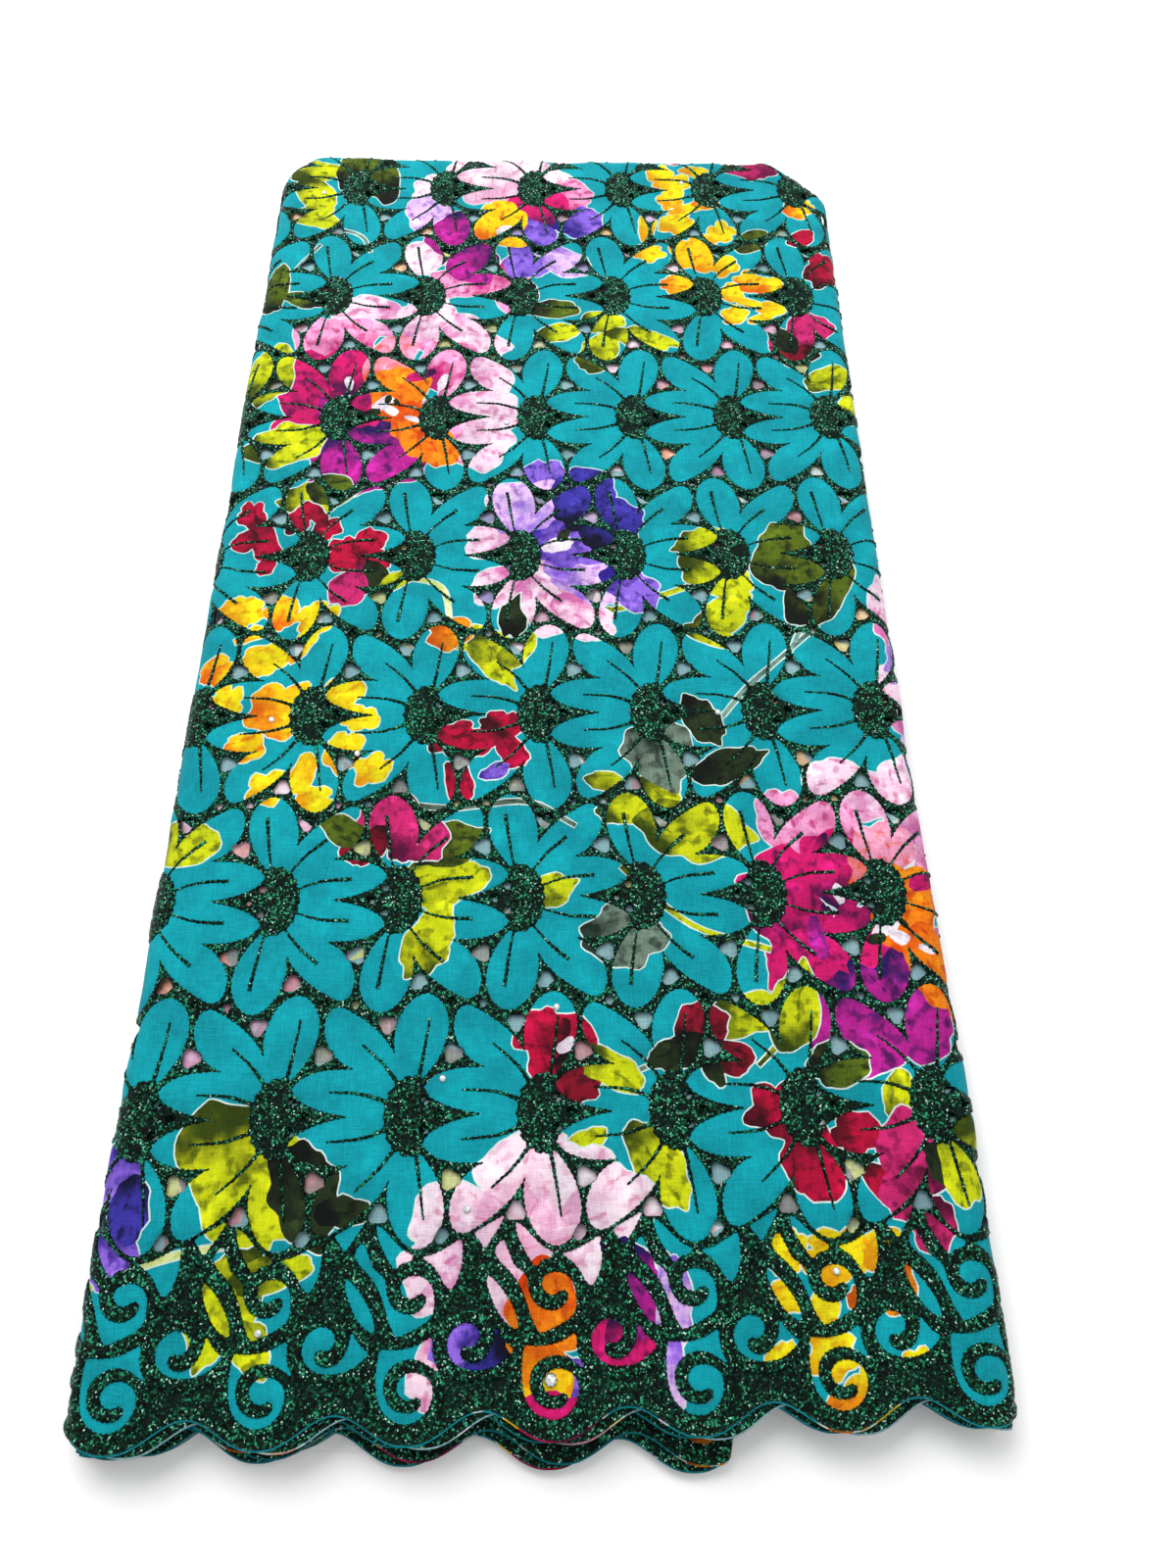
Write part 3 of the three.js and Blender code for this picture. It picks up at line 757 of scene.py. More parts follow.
def beside(line):
    """Unit vectors to the left of a line at its points."""
    ahead = np.gradient(line, axis=0)
    return unit_rows(np.stack([-ahead[:, 1], ahead[:, 0]], axis=1))


class Print:
    """The print as shapes in the order they were laid, and a map of which shows where."""

    def __init__(self):
        self.loops = []
        # Colours of each shape, and the two lines that give a point's place along and across it
        self.colours, self.lines = [GROUND], [NO_LINE]
        self.map = Raster(PLAN_LOW, PLAN_HIGH, RASTER_CELL)
        self.pending = []

    def shape(self, ink, form, x, y, length, width, angle):
        steps = int(np.clip(math.pi * (length + width) / 2 / SHAPE_STEP, *SHAPE_POINTS))
        local = unit_shape(form, steps)
        start = abs(x) * 0.37 + abs(y) * 0.73
        radius = np.hypot(*local.T)[:, None]
        waves = local * WANDER_WAVES + (start, 0.0)
        wander = lattice_noise(*waves.T, 1.0, 5)[:, None] - 0.5
        local = local * (1 + WANDER * wander * np.minimum(radius * 2.4, 1))
        outline = turned(local * (length, width), angle) + (x, y)
        self.pending.append((outline, INKS[ink], angle, (x, y), length, width))

    def stem(self, ink, width, *points):
        line = spline(points, STEM_STEPS)
        half = width / 2 * (0.75 + 0.5 * lattice_noise(*line.T, 12, 8))[:, None]
        side = beside(line) * half
        outline = np.vstack([line - side, (line + side)[::-1]])
        span = line[-1] - line[0]
        angle, length = math.degrees(math.atan2(span[1], span[0])), float(np.linalg.norm(span))
        self.pending.append((outline, INKS[ink], angle, line[len(line) // 2], length, width * 3))

    def settle(self):
        """Lays a spray that is complete: its pale surround first, then its shapes."""
        for outline, *_ in self.pending:
            reach = HALO * (0.7 + 0.6 * lattice_noise(*outline.T, 5, 2))
            self.lay(outline + outward(outline) * reach[:, None], (HALO_COLOUR,) * 3, NO_LINE)
        for outline, colours, angle, middle, length, width in self.pending:
            along, across = turned([(1.0, 0.0), (0.0, 1.0)], angle)
            along, across = along / length, across / width
            line = (*along, 0.5 - float(np.dot(along, middle)), *across, -float(np.dot(across, middle)))
            self.lay(outline, colours, line)
        self.pending = []

    def lay(self, outline, colours, line):
        self.map.paint(outline, len(self.colours))
        self.loops.append(outline)
        self.colours.append(colours)
        self.lines.append(line)

    def spray(self, rows_of_inks, place=(0.0, 0.0)):
        for ink, form, *rows in rows_of_inks:
            for x, y, length, width, angle in rows:
                self.shape(ink, form, x + place[0], y + place[1], length, width, angle)
        self.settle()


printed = Print()
for place in PEONY_PLACES:
    printed.spray(PEONY, place)
for ink, width, *points in STEMS:
    printed.stem(ink, width, *points)
printed.settle()
for rows_of_inks in (LEAVES, BACK_BLOOM, MIDDLE_BLOOM, HEM_BLOOM, FLORETS, REDS):
    printed.spray(rows_of_inks)


# Relief of the worked cloth

def softened(values, reach, passes=2):
    """A map averaged over squares reach wide, more than once."""
    values = values.astype(np.float32)
    half = max(int(round(reach / RASTER_CELL / 2)), 1)
    for _ in range(passes):
        for axis in (0, 1):
            pads = [(half + 1, half) if axis == side else (0, 0) for side in (0, 1)]
            total = np.cumsum(np.pad(values, pads, mode="edge"), axis=axis, dtype=np.float64)
            ahead = total[2 * half + 1:] if axis == 0 else total[:, 2 * half + 1:]
            behind = total[:-2 * half - 1] if axis == 0 else total[:, :-2 * half - 1]
            values = ((ahead - behind) / (2 * half + 1)).astype(np.float32)
    return values


def sampled(values, points):
    cells = np.floor((points - STITCHES.low) / RASTER_CELL).astype(int)
    rows, columns = values.shape
    return values[np.clip(cells[:, 1], 0, rows - 1), np.clip(cells[:, 0], 0, columns - 1)]


OPEN_MAP = STITCHES.map == OPEN_CLOTH
STITCHED_MAP = (STITCHES.map == THREAD) | (STITCHES.map == BODY)
PUFF_REACH, SOLID_REACH, HOLE_REACH, BODY_REACH = 4.5, 0.5, 1.0, 5.0
PUFF_MAP = softened(OPEN_MAP, PUFF_REACH)
SOLID_STITCHES_MAP = softened(STITCHED_MAP, SOLID_REACH, 1)
NEAR_HOLE_MAP = softened(STITCHES.map == HOLE, HOLE_REACH, 1)
BODY_MAP = softened(STITCHES.map == BODY, BODY_REACH)

PUFF = 0.75
SWAY = 0.55
FINE_CREASE = 0.16
CLOTH_RISE = 0.45
# Lengths of the slow sway, of the creases and of the fine creases
CREASE_LENGTHS = (46.0, 15.0, 6.0)
HEM_DROOP = 0.7
HEM_DROOP_REACH = 3.0
STITCH_HEIGHT = 0.36
STITCH_ROUGHNESS = 0.26
STITCH_LEAST = 0.16
BODY_DOME = 0.75


def cloth_relief(points):
    """Soft height of the top ply: petals puffed up between the stitches, and slow creases."""
    x, y = points.T
    slow = lattice_noise(x + 0.35 * y, y - 0.2 * x, CREASE_LENGTHS[0], 11) - 0.5
    crease = lattice_noise(x * 0.5 + y, y * 0.35 - x, CREASE_LENGTHS[1], 12) - 0.5
    fine = lattice_noise(x, y, CREASE_LENGTHS[2], 13) - 0.5
    puff = np.clip(sampled(PUFF_MAP, points) * 1.25 - 0.25, 0, 1)
    relief = SWAY * (1.3 * slow + 0.5 * crease) + PUFF * puff * (0.8 + 1.1 * crease)
    relief = relief + FINE_CREASE * puff * fine
    droop = HEM_DROOP * np.exp(-np.maximum(y - hem_line(x), 0) / HEM_DROOP_REACH)
    return relief + CLOTH_RISE - droop


# Meshes

def point_in(polygon, points):
    """Whether each point is inside the polygon."""
    polygon = np.asarray(polygon)
    ends = np.roll(polygon, -1, axis=0)
    found = np.zeros(len(points), bool)
    for chunk in np.array_split(np.arange(len(points)), max(len(points) // POLYGON_CHUNK, 1)):
        x, y = points[chunk, 0][:, None], points[chunk, 1][:, None]
        spans = (polygon[None, :, 1] > y) != (ends[None, :, 1] > y)
        rise = np.where(ends[:, 1] == polygon[:, 1], 1.0, ends[:, 1] - polygon[:, 1])
        cross = polygon[:, 0] + (y - polygon[:, 1]) * (ends[:, 0] - polygon[:, 0]) / rise
        found[chunk] = (spans & (x < cross)).sum(axis=1) % 2 == 1
    return found


LATTICE_STRAY = 0.3
LATTICE_ROW = 0.866
PLAN_MARGIN = 24


def lattice(low, high, step, seed):
    """Staggered points over a box, each a little off its place."""
    rows = np.arange(low[1], high[1], step * LATTICE_ROW)
    columns = np.arange(low[0], high[0], step)
    x, y = np.meshgrid(columns, rows)
    x = x + (np.arange(len(rows)) % 2)[:, None] * step / 2
    chance = np.random.default_rng(seed)
    x = x + chance.uniform(-LATTICE_STRAY, LATTICE_STRAY, x.shape) * step
    y = y + chance.uniform(-LATTICE_STRAY, LATTICE_STRAY, y.shape) * step
    return np.column_stack([x.ravel(), y.ravel()])


def on_plan(loops):
    """The loops that reach the plan's own box, inside its margin."""
    low, high = np.array(PLAN_LOW) + PLAN_MARGIN, np.array(PLAN_HIGH) - PLAN_MARGIN
    return [loop for loop in loops if (loop.max(axis=0) > low).all() and (loop.min(axis=0) < high).all()]


def triangulated(loops, spots, keep):
    """Triangles over the plan that follow every loop, where keep holds for their middles."""
    points, edges, count = [], [], 0
    for loop in loops:
        points.append(loop)
        at = np.arange(count, count + len(loop))
        edges.append(np.column_stack([at, np.roll(at, -1)]))
        count += len(loop)
    points = np.vstack(points + [spots])
    edges = np.vstack(edges)
    found, _, faces, *_ = geometry.delaunay_2d_cdt(
        [Vector(point) for point in points.tolist()], edges.tolist(), [], 0, 1e-3, False)
    found = np.array([tuple(point) for point in found])
    faces = np.array([tuple(face) for face in faces])
    faces = faces[keep(found[faces].mean(axis=1))]
    used, places = np.unique(faces, return_inverse=True)
    return found[used], places.reshape(-1, 3)


def rim_of(faces):
    """Edges of the triangles that only one of them has, in that one's direction."""
    pairs = np.vstack([faces[:, [0, 1]], faces[:, [1, 2]], faces[:, [2, 0]]]).astype(np.int64)
    low, high = pairs.min(axis=1), pairs.max(axis=1)
    key = low * (faces.max() + 1) + high
    _, first, times = np.unique(key, return_index=True, return_counts=True)
    return pairs[first[times == 1]]


def make_piece(name, points, faces, materials, slots=None, smooth=True):
    """A mesh object from plan millimetres, in the frame's metres."""
    mesh = bpy.data.meshes.new(name)
    placed = np.array(points, float)
    placed[:, :2] += PLAN_SHIFT
    mesh.from_pydata((placed * MM).tolist(), [], np.asarray(faces).tolist())
    for material in materials:
        mesh.materials.append(material)
    mesh.polygons.foreach_set("use_smooth", np.full(len(faces), smooth))
    if slots is not None:
        mesh.polygons.foreach_set("material_index", np.asarray(slots, np.int32))
    mesh.update()
    piece = bpy.data.objects.new(name, mesh)
    bpy.context.scene.collection.objects.link(piece)
    return piece


def linear(colour):
    values = np.array([int(colour[at:at + 2], 16) for at in (1, 3, 5)]) / 255
    return np.where(values <= 0.04045, values / 12.92, ((values + 0.055) / 1.055) ** 2.4)


# The cloth's wrong side: how much of the ink shows, and the pale yarn that is added
WRONG_SIDE_INK = 0.6
WRONG_SIDE_PALE = 0.2


def ink_piece(piece, corners, shapes, wrong_side, painted_shade_gain):
    """Gives each face the colours of its printed shape, darkened by painted shade, and each corner its place
    on it.
    """
    mesh = piece.data
    for name, column in zip(("foot", "tip", "vein"), zip(*printed.colours)):
        table = np.array([np.r_[linear(colour), 1.0] for colour in column])
        values = table[shapes]
        values[wrong_side, :3] = values[wrong_side, :3] * WRONG_SIDE_INK + WRONG_SIDE_PALE
        # Painted shade: the colours are darkened by this factor
        values[:, :3] *= painted_shade_gain
        attribute = mesh.attributes.new(name, "FLOAT_COLOR", "FACE")
        attribute.data.foreach_set("color", values.ravel())
    lines = np.array(printed.lines)[shapes][:, None]
    places = np.zeros((len(shapes), 3, 3), np.float32)
    x, y = corners[..., 0], corners[..., 1]
    places[..., 0] = lines[..., 0] * x + lines[..., 1] * y + lines[..., 2]
    places[..., 1] = lines[..., 3] * x + lines[..., 4] * y + lines[..., 5]
    places[..., 2] = (shapes > 0)[:, None]
    attribute = mesh.attributes.new("place", "FLOAT_VECTOR", "CORNER")
    attribute.data.foreach_set("vector", places.reshape(-1))


# Materials

class Nodes:
    """A material with a principled shader, built node by node."""

    def __init__(self, name, **values):
        self.material = bpy.data.materials.new(name)
        self.material.use_nodes = True
        self.tree = self.material.node_tree
        self.shader = self.tree.nodes["Principled BSDF"]
        for key, value in values.items():
            self.shader.inputs[key.replace("_", " ")].default_value = value
        self.where = self.tree.nodes.new("ShaderNodeTexCoord").outputs["Object"]

    def node(self, kind, inputs=(), **settings):
        node = self.tree.nodes.new("ShaderNode" + kind)
        for key, value in settings.items():
            setattr(node, key, value)
        for key, value in dict(inputs).items():
            if isinstance(value, bpy.types.NodeSocket):
                self.tree.links.new(value, node.inputs[key])
            else:
                node.inputs[key].default_value = value
        return node

    def attribute(self, name, output="Color"):
        return self.node("Attribute", attribute_name=name).outputs[output]

    def math(self, operation, first, second=0.0, third=0.0):
        return self.node("Math", {0: first, 1: second, 2: third}, operation=operation).outputs[0]

    def times(self, *values):
        """The product of values, some of them sockets."""
        product = values[0]
        for value in values[1:]:
            product = self.math("MULTIPLY", product, value)
        return product

    def cells(self, size):
        """Random cells about size millimetres across."""
        return self.node("TexVoronoi", {"Vector": self.where, "Scale": 1 / (size * MM), "Randomness": 1.0})

    def noise(self, size, detail=2.0, stretch=(1.0, 1.0, 1.0), roughness=0.5):
        """Noise from about 0 to 1 whose blobs are size millimetres across."""
        scaled = self.node("Mapping", {"Vector": self.where, "Scale": stretch}).outputs[0]
        values = {"Vector": scaled, "Scale": 1 / (size * MM), "Detail": detail, "Roughness": roughness}
        return self.node("TexNoise", values).outputs[0]

    def ramp(self, value, low, high):
        return self.node("MapRange", {
            "Value": value, "From Min": low, "From Max": high}, interpolation_type="SMOOTHSTEP").outputs[0]

    def steps(self, value, stops, interpolation="CONSTANT"):
        node = self.node("ValToRGB", {0: value})
        node.color_ramp.interpolation = interpolation
        elements = node.color_ramp.elements
        while len(elements) < len(stops):
            elements.new(0.5)
        for element, (place, colour) in zip(elements, stops):
            element.position = place
            element.color = (*linear(colour), 1.0)
        return node.outputs[0]

    def mix(self, share, first, second, blend="MIX"):
        node = self.node("Mix", data_type="RGBA", blend_type=blend)
        for key, value in ((0, share), (6, first), (7, second)):
            if isinstance(value, bpy.types.NodeSocket):
                self.tree.links.new(value, node.inputs[key])
            else:
                node.inputs[key].default_value = value
        return node.outputs[2]

    def feed(self, key, socket):
        self.tree.links.new(socket, self.shader.inputs[key])

    def bump(self, height, strength, distance_mm):
        bumped = self.node("Bump", {"Height": height, "Strength": strength, "Distance": distance_mm * MM})
        self.feed("Normal", bumped.outputs[0])


WHITE = (1.0, 1.0, 1.0, 1.0)
CLOUD = (0.0, 0.14, 0.19, 1.0)
# Near-black colour of the painted shade in the thread's grooves, pits and border fill
SHADED_THREAD = (0.002, 0.008, 0.006, 1.0)
# Printed veins across a shape, the yarn's width in millimetres and how it stretches
VEINS = 9.0
YARN = 0.42
YARN_STRETCH = 0.07
# Thread: its cells and its painted glints in millimetres, and how many of the painted glints don't show
THREAD_CELL = 0.85
GLINT_CELL = 0.55
GLINT_FROM = 0.93


def voile_material():
    """Printed voile: watercolour inks that run within each shape, on fine slubbed yarns."""
    made = Nodes("printed_voile", Roughness=0.85, Sheen_Weight=0.04, Sheen_Roughness=0.5,
                 Specular_IOR_Level=0.12)
    place = made.node("SeparateXYZ", {0: made.attribute("place", "Vector")})
    along, across, shape = place.outputs
    wash = made.noise(13.0, 3.0)
    spread = made.noise(5.0, 2.0)
    run = made.math("ADD", along, made.math("MULTIPLY_ADD", wash, 1.5, -0.75))
    share = made.ramp(run, 0.0, 0.66)
    colour = made.mix(share, made.attribute("foot"), made.attribute("tip"))
    fan = made.math("DIVIDE", across, made.math("MAXIMUM", made.math("ADD", along, 0.45), 0.2))
    fan = made.math("MULTIPLY_ADD", wash, 0.45, fan)
    rib = made.math("ABSOLUTE", made.math("SINE", made.times(fan, VEINS)))
    rib = made.times(made.ramp(rib, 0.9, 1.0), made.ramp(spread, 0.4, 0.6), shape, 0.6)
    colour = made.mix(rib, colour, made.attribute("vein"))
    pool = made.times(made.ramp(spread, 0.5, 0.66), shape, 0.6)
    colour = made.mix(pool, colour, made.attribute("foot"))
    faded = made.times(made.ramp(made.noise(8.0, 3.0), 0.54, 0.7), shape, 0.75)
    colour = made.mix(faded, colour, WHITE, "SOFT_LIGHT")
    cloudy = made.ramp(made.noise(22.0, 4.0), 0.34, 0.66)
    colour = made.mix(made.times(cloudy, 0.3), colour, CLOUD, "MULTIPLY")
    warp = made.noise(YARN, 1.0, (1.0, YARN_STRETCH, 1.0))
    weft = made.noise(YARN, 1.0, (YARN_STRETCH, 1.0, 1.0))
    yarns = made.math("ADD", warp, weft)
    slub = made.ramp(yarns, 0.72, 1.28)
    colour = made.mix(made.times(slub, 0.5), colour, WHITE, "SOFT_LIGHT")
    made.feed("Base Color", colour)
    made.bump(yarns, 0.4, 0.18)
    return made.material


def thread_material():
    """Metallic embroidery thread: dark green stitches with painted green and white glints."""
    made = Nodes("metallic_thread", Roughness=0.4, Metallic=0.35, Specular_IOR_Level=0.1)
    fine = made.cells(GLINT_CELL)
    chance = made.node("SeparateColor", {0: made.cells(THREAD_CELL).outputs["Color"]}).outputs[0]
    glint = made.node("SeparateColor", {0: fine.outputs["Color"]}).outputs[1]
    colour = made.steps(chance, (
        (0.0, "#020A07"), (0.4, "#051A12"), (0.64, "#082C1E"), (0.81, "#0E4E37"), (0.93, "#22885F")))
    # Painted glints: specks of mint and white mixed into the base colour
    painted_glint = made.steps(glint, ((0.0, "#000000"), (GLINT_FROM, "#46A884"), (0.982, "#B4E0CC")))
    share = made.math("GREATER_THAN", glint, GLINT_FROM)
    # Painted shade: the thread goes towards near black where its painted-shade value is high, and its
    # painted glints fade there
    painted_shade_share = made.ramp(made.attribute("painted_shade", "Fac"), 0.0, 1.0)
    colour = made.mix(made.times(share, made.math("SUBTRACT", 1.0, painted_shade_share)), colour, painted_glint)
    made.feed("Base Color", made.mix(made.times(painted_shade_share, 0.85), colour, SHADED_THREAD))
    height = made.math("MULTIPLY_ADD", fine.outputs["Distance"], -1.0, made.times(chance, 0.6))
    made.bump(height, 0.9, 0.35)
    return made.material


def gem_material():
    made = Nodes("rhinestone", Roughness=0.06, Metallic=0.85, Specular_IOR_Level=1.0)
    shine = made.steps(made.noise(1.2, 1.0), ((0.0, "#B8CCC8"), (0.5, "#F4FBFA")), "LINEAR")
    made.feed("Base Color", shine)
    return made.material


VOILE, STITCHING, GEM = voile_material(), thread_material(), gem_material()


# Shells of cloth

def make_shell(name, plan, faces, above, below, printed_at, stitched=None, turned_over=False, painted_shade_gain=1.0):
    """A ply as a thin shell with its print: upper side, lower side, and walls along its rims.
    Gives the piece and its flat area."""
    rim, count = rim_of(faces), len(plan)
    walls = np.vstack([
        np.column_stack([rim[:, 1], rim[:, 0], rim[:, 0] + count]),
        np.column_stack([rim[:, 1], rim[:, 0] + count, rim[:, 1] + count])])
    every = np.vstack([faces, faces[:, ::-1] + count, walls])
    hidden = len(every) - len(faces)
    if stitched is None:
        piece = make_piece(name, np.vstack([above, below]), every, [VOILE])
    else:
        slots = np.r_[stitched, np.zeros(hidden, bool)].astype(int)
        piece = make_piece(name, np.vstack([above, below]), every, [VOILE, STITCHING], slots)
    shapes = printed.map.at(printed_at(plan[faces].mean(axis=1)))
    shapes = np.r_[shapes, shapes, np.zeros(len(walls), int)]
    wrong_side = np.r_[np.full(len(faces), turned_over), np.ones(hidden, bool)]
    corners = printed_at(np.vstack([plan, plan]))[every]
    ink_piece(piece, corners, shapes, wrong_side, painted_shade_gain)
    first, second = plan[faces[:, 1]] - plan[faces[:, 0]], plan[faces[:, 2]] - plan[faces[:, 0]]
    area = np.abs(first[:, 0] * second[:, 1] - first[:, 1] * second[:, 0]).sum() / 2
    return piece, float(area) * MM * MM


# Top ply

top_roll = Roll(quarter_roll(0.0, PACK_HEIGHT))
top_edge = ply_domain(top_roll.reach, {})
RING_STEP = 1.5
ALONG_EDGE_STEP = 3.0
CLOTH_STEP = 4.2
STITCH_STEP = 1.2
RING_OFFSET = 0.5


def rows_along_edge(step, insets):
    """Rows of points that follow the outline at these distances inside it."""
    line = resampled(EDGE, step)
    direction = edge_frame(line)[1]
    return np.vstack([line + direction * inset for inset in insets])


def spots_inside(points, roll, edge, clear=0.0):
    """Lattice points that lie on the ply's flat part."""
    inset = edge_frame(points)[0]
    return points[(inset > roll.start + clear) & point_in(edge, points)]


def beside_loops(loops, reach):
    """Points beside the loops' own points, on both sides."""
    return np.vstack([loop + outward(loop) * side for loop in loops for side in (reach, -reach)])


def make_top_cloth():
    spots = spots_inside(lattice(PLAN_LOW, PLAN_HIGH, CLOTH_STEP, TOP_SEED), top_roll, top_edge, RING_STEP)
    insets = np.arange(-top_roll.reach + RING_STEP / 2, top_roll.start + RING_STEP, RING_STEP)
    spots = np.vstack([spots, rows_along_edge(ALONG_EDGE_STEP, insets)])
    spots = spots[point_in(top_edge, spots)]

    def keep(middles):
        return point_in(top_edge, middles) & (CUT.at(middles) == 0)

    plan, faces = triangulated([top_edge] + on_plan(cloth_holes) + on_plan(printed.loops), spots, keep)
    relief = cloth_relief(plan)
    above, below = top_roll.place(plan, relief), top_roll.place(plan, relief - CLOTH)
    return make_shell("top_cloth", plan, faces, above, below, np.asarray)


# Cords that border the windows and the hem, and the groove beyond them
CORD_BAND = 14.0
CORD_WIDTH = 4.7
CORD_RISE = 0.75
CORD_ROUND = 0.7
HEM_CORD = 0.3
GROOVE = (4.3, 6.0)
GROOVE_SINK = 0.5
# Painted shade in the groove and over the border's fill beyond the cords
GROOVE_PAINTED_SHADE = 0.8
FILL_PAINTED_SHADE = 0.35
FILL_EASE = 2
# Pits of the stitches: size, seed, how seldom and how steep, then how far they sink. The pits are also
# darkened by painted shade
BORDER_PITS = (5.2, 61, 0.74, 9)
BORDER_PIT_SINK = 0.3
BODY_PITS = (3.4, 62, 0.66, 8)
BODY_PIT_SINK = 0.45
BODY_SHARE = 0.4


def pits_at(points, size, seed, least, steep):
    """How deep the pits are at each point, from 0 to 1."""
    return np.clip((lattice_noise(*points.T, size, seed) - least) * steep, 0, 1)


def cords_at(points):
    """Extra height and painted shade: the cords that border the windows, the groove beyond them,
    the cord along the hem, and the pits of the border's fill and the bodies. The painted shade
    darkens the groove, the pits and the fill beyond the cords."""
    in_border = points[:, 1] < BORDER_TOP + CORD_BAND
    outlines = np.vstack(on_plan(border_windows))
    tree = kdtree.KDTree(len(outlines))
    for index, (x, y) in enumerate(outlines):
        tree.insert((x, y, 0.0), index)
    tree.balance()
    away = np.full(len(points), 1.0)
    for index in np.flatnonzero(in_border):
        away[index] = tree.find((*points[index], 0.0))[2]
    hem_away = points[:, 1] - hem_line(points[:, 0])
    away = np.where(in_border, np.minimum(away, np.abs(hem_away - HEM_CORD)), away)
    round_cord = np.sin(math.pi * np.clip(away / CORD_WIDTH, 0, 1)) ** CORD_ROUND
    groove = np.clip(1 - np.abs(away - np.mean(GROOVE)) / (GROOVE[1] - GROOVE[0]), 0, 1)
    pits = pits_at(points, *BORDER_PITS) * (away > CORD_WIDTH)
    body_pits = np.where(sampled(BODY_MAP, points) > BODY_SHARE, pits_at(points, *BODY_PITS), 0.0)
    rise = np.where(in_border, CORD_RISE * round_cord - GROOVE_SINK * groove - BORDER_PIT_SINK * pits, 0.0)
    # Painted shade: the border's fill beyond the cords, the groove and the pits are darkened in the thread's
    # colour
    fill = FILL_PAINTED_SHADE * np.clip((away - CORD_WIDTH) / FILL_EASE, 0, 1)
    border_painted_shade = np.maximum(np.maximum(GROOVE_PAINTED_SHADE * groove, pits), fill)
    return rise - BODY_PIT_SINK * body_pits, np.where(in_border, border_painted_shade, body_pits)


# Where the embroidery stops: inside the cloth's edge, behind its hem, and past its lines
STITCH_INSET = 0.8
STITCH_HEM = -0.6
SEAM_LAP = 3
LOOP_LAP = 2
SEAM_BAND = 1.6
EDGE_HEIGHT = 0.02
HOLE_LAP = 0.05
SOLID_SHARE = 0.99
SEAM_SHARE = 0.9
NEAR_HOLE_SHARE = 0.02


def is_stitched(points):
    return np.isin(STITCHES.at(points), (THREAD, BODY))


def make_stitching(name, low, high, seed):
    """The raised embroidery between two lines across the cloth."""
    edge = ply_domain(top_roll.reach - STITCH_INSET, {"forward": STITCH_HEM})
    loops = [loop for loop in on_plan(fields + holes)
             if loop[:, 1].max() > low - LOOP_LAP and loop[:, 1].min() < high + LOOP_LAP]
    spots = lattice((PLAN_LOW[0], low - SEAM_LAP), (PLAN_HIGH[0], high + SEAM_LAP), STITCH_STEP, seed)
    spots = spots[sampled(SOLID_STITCHES_MAP, spots) > SOLID_SHARE]
    spots = np.vstack([spots, beside_loops(loops, RING_OFFSET)])
    within = (spots[:, 1] > low - SEAM_LAP) & (spots[:, 1] < high + SEAM_LAP)
    spots = spots[is_stitched(spots) & within & point_in(edge, spots)]

    def keep(middles):
        between = (middles[:, 1] > low) & (middles[:, 1] <= high)
        return is_stitched(middles) & point_in(edge, middles) & between

    plan, faces = triangulated([edge] + loops, spots, keep)
    chance = np.random.default_rng(seed + 1).uniform(0, 1, len(plan))
    cord, painted_shade = cords_at(plan)
    height = STITCH_HEIGHT + STITCH_ROUGHNESS * chance + BODY_DOME * sampled(BODY_MAP, plan) + cord
    height = np.maximum(height, STITCH_LEAST)
    outer = np.zeros(len(plan), bool)
    outer[rim_of(faces)] = True
    seam = np.minimum(np.abs(plan[:, 1] - low), np.abs(plan[:, 1] - high)) < SEAM_BAND
    edges = outer & ~(seam & (sampled(SOLID_STITCHES_MAP, plan) > SEAM_SHARE))
    height[edges] = EDGE_HEIGHT
    height[edges & (sampled(NEAR_HOLE_MAP, plan) > NEAR_HOLE_SHARE)] = -CLOTH - HOLE_LAP
    placed = top_roll.place(plan, cloth_relief(plan) + height)
    piece = make_piece(name, placed, faces, [STITCHING], smooth=False)
    # Painted shade of the grooves, pits and border fill, read by the thread's colour
    attribute = piece.data.attributes.new("painted_shade", "FLOAT", "POINT")
    attribute.data.foreach_set("value", painted_shade.astype(np.float32))
    return piece


STITCHING_HIGH, STITCHING_LOW = 400.0, -420.0
top_cloth, top_area = make_top_cloth()
field_stitching = make_stitching("field_embroidery", BORDER_TOP, STITCHING_HIGH, FIELD_SEED)
border_stitching = make_stitching("border_embroidery", STITCHING_LOW, BORDER_TOP, BORDER_SEED)

# Stamens: thickness, how it swells at each stitch, how it tapers, and how far stitches stray
STAMEN_RADIUS = 0.7
STAMEN_SWELL = 0.22
STAMEN_TAPER = (1.3, 0.62)
STAMEN_STEP = 1.15
STAMEN_STRAY = 0.09
STAMEN_FLAT = 0.9
STAMEN_TURNS = (0, 60, 120, 180)
LEAST_STITCHES = 4


def make_stamens():
    """Twisted stitches that run out from every daisy's body over the open petals."""
    points, faces = [], []
    chance = np.random.default_rng(STAMEN_SEED)
    count = 0
    for line in stamens:
        line = resampled(line, STAMEN_STEP)
        line = line + chance.normal(0, STAMEN_STRAY, line.shape)
        line = line[point_in(top_edge, line)]
        if len(line) < LEAST_STITCHES:
            continue
        side, base, total = beside(line), cloth_relief(line), len(line)
        radius = STAMEN_RADIUS * (1 + STAMEN_SWELL * (-1.0) ** np.arange(total))
        radius *= np.linspace(*STAMEN_TAPER, total)
        for turn in STAMEN_TURNS:
            across = math.cos(math.radians(turn)) * radius
            up = math.sin(math.radians(turn)) * radius * STAMEN_FLAT
            points.append(top_roll.place(line + side * across[:, None], base + up + EDGE_HEIGHT))
        at = np.arange(total - 1)
        for strand in range(len(STAMEN_TURNS) - 1):
            here = count + strand * total + at
            across = here + total
            faces += [
                np.column_stack([here, here + 1, across + 1]), np.column_stack([here, across + 1, across])]
        count += len(STAMEN_TURNS) * total
    faces = np.vstack(faces)[:, ::-1]
    return make_piece("stamen_stitches", np.vstack(points), faces, [STITCHING], smooth=False)


stamen_stitches = make_stamens()


# Lower plies

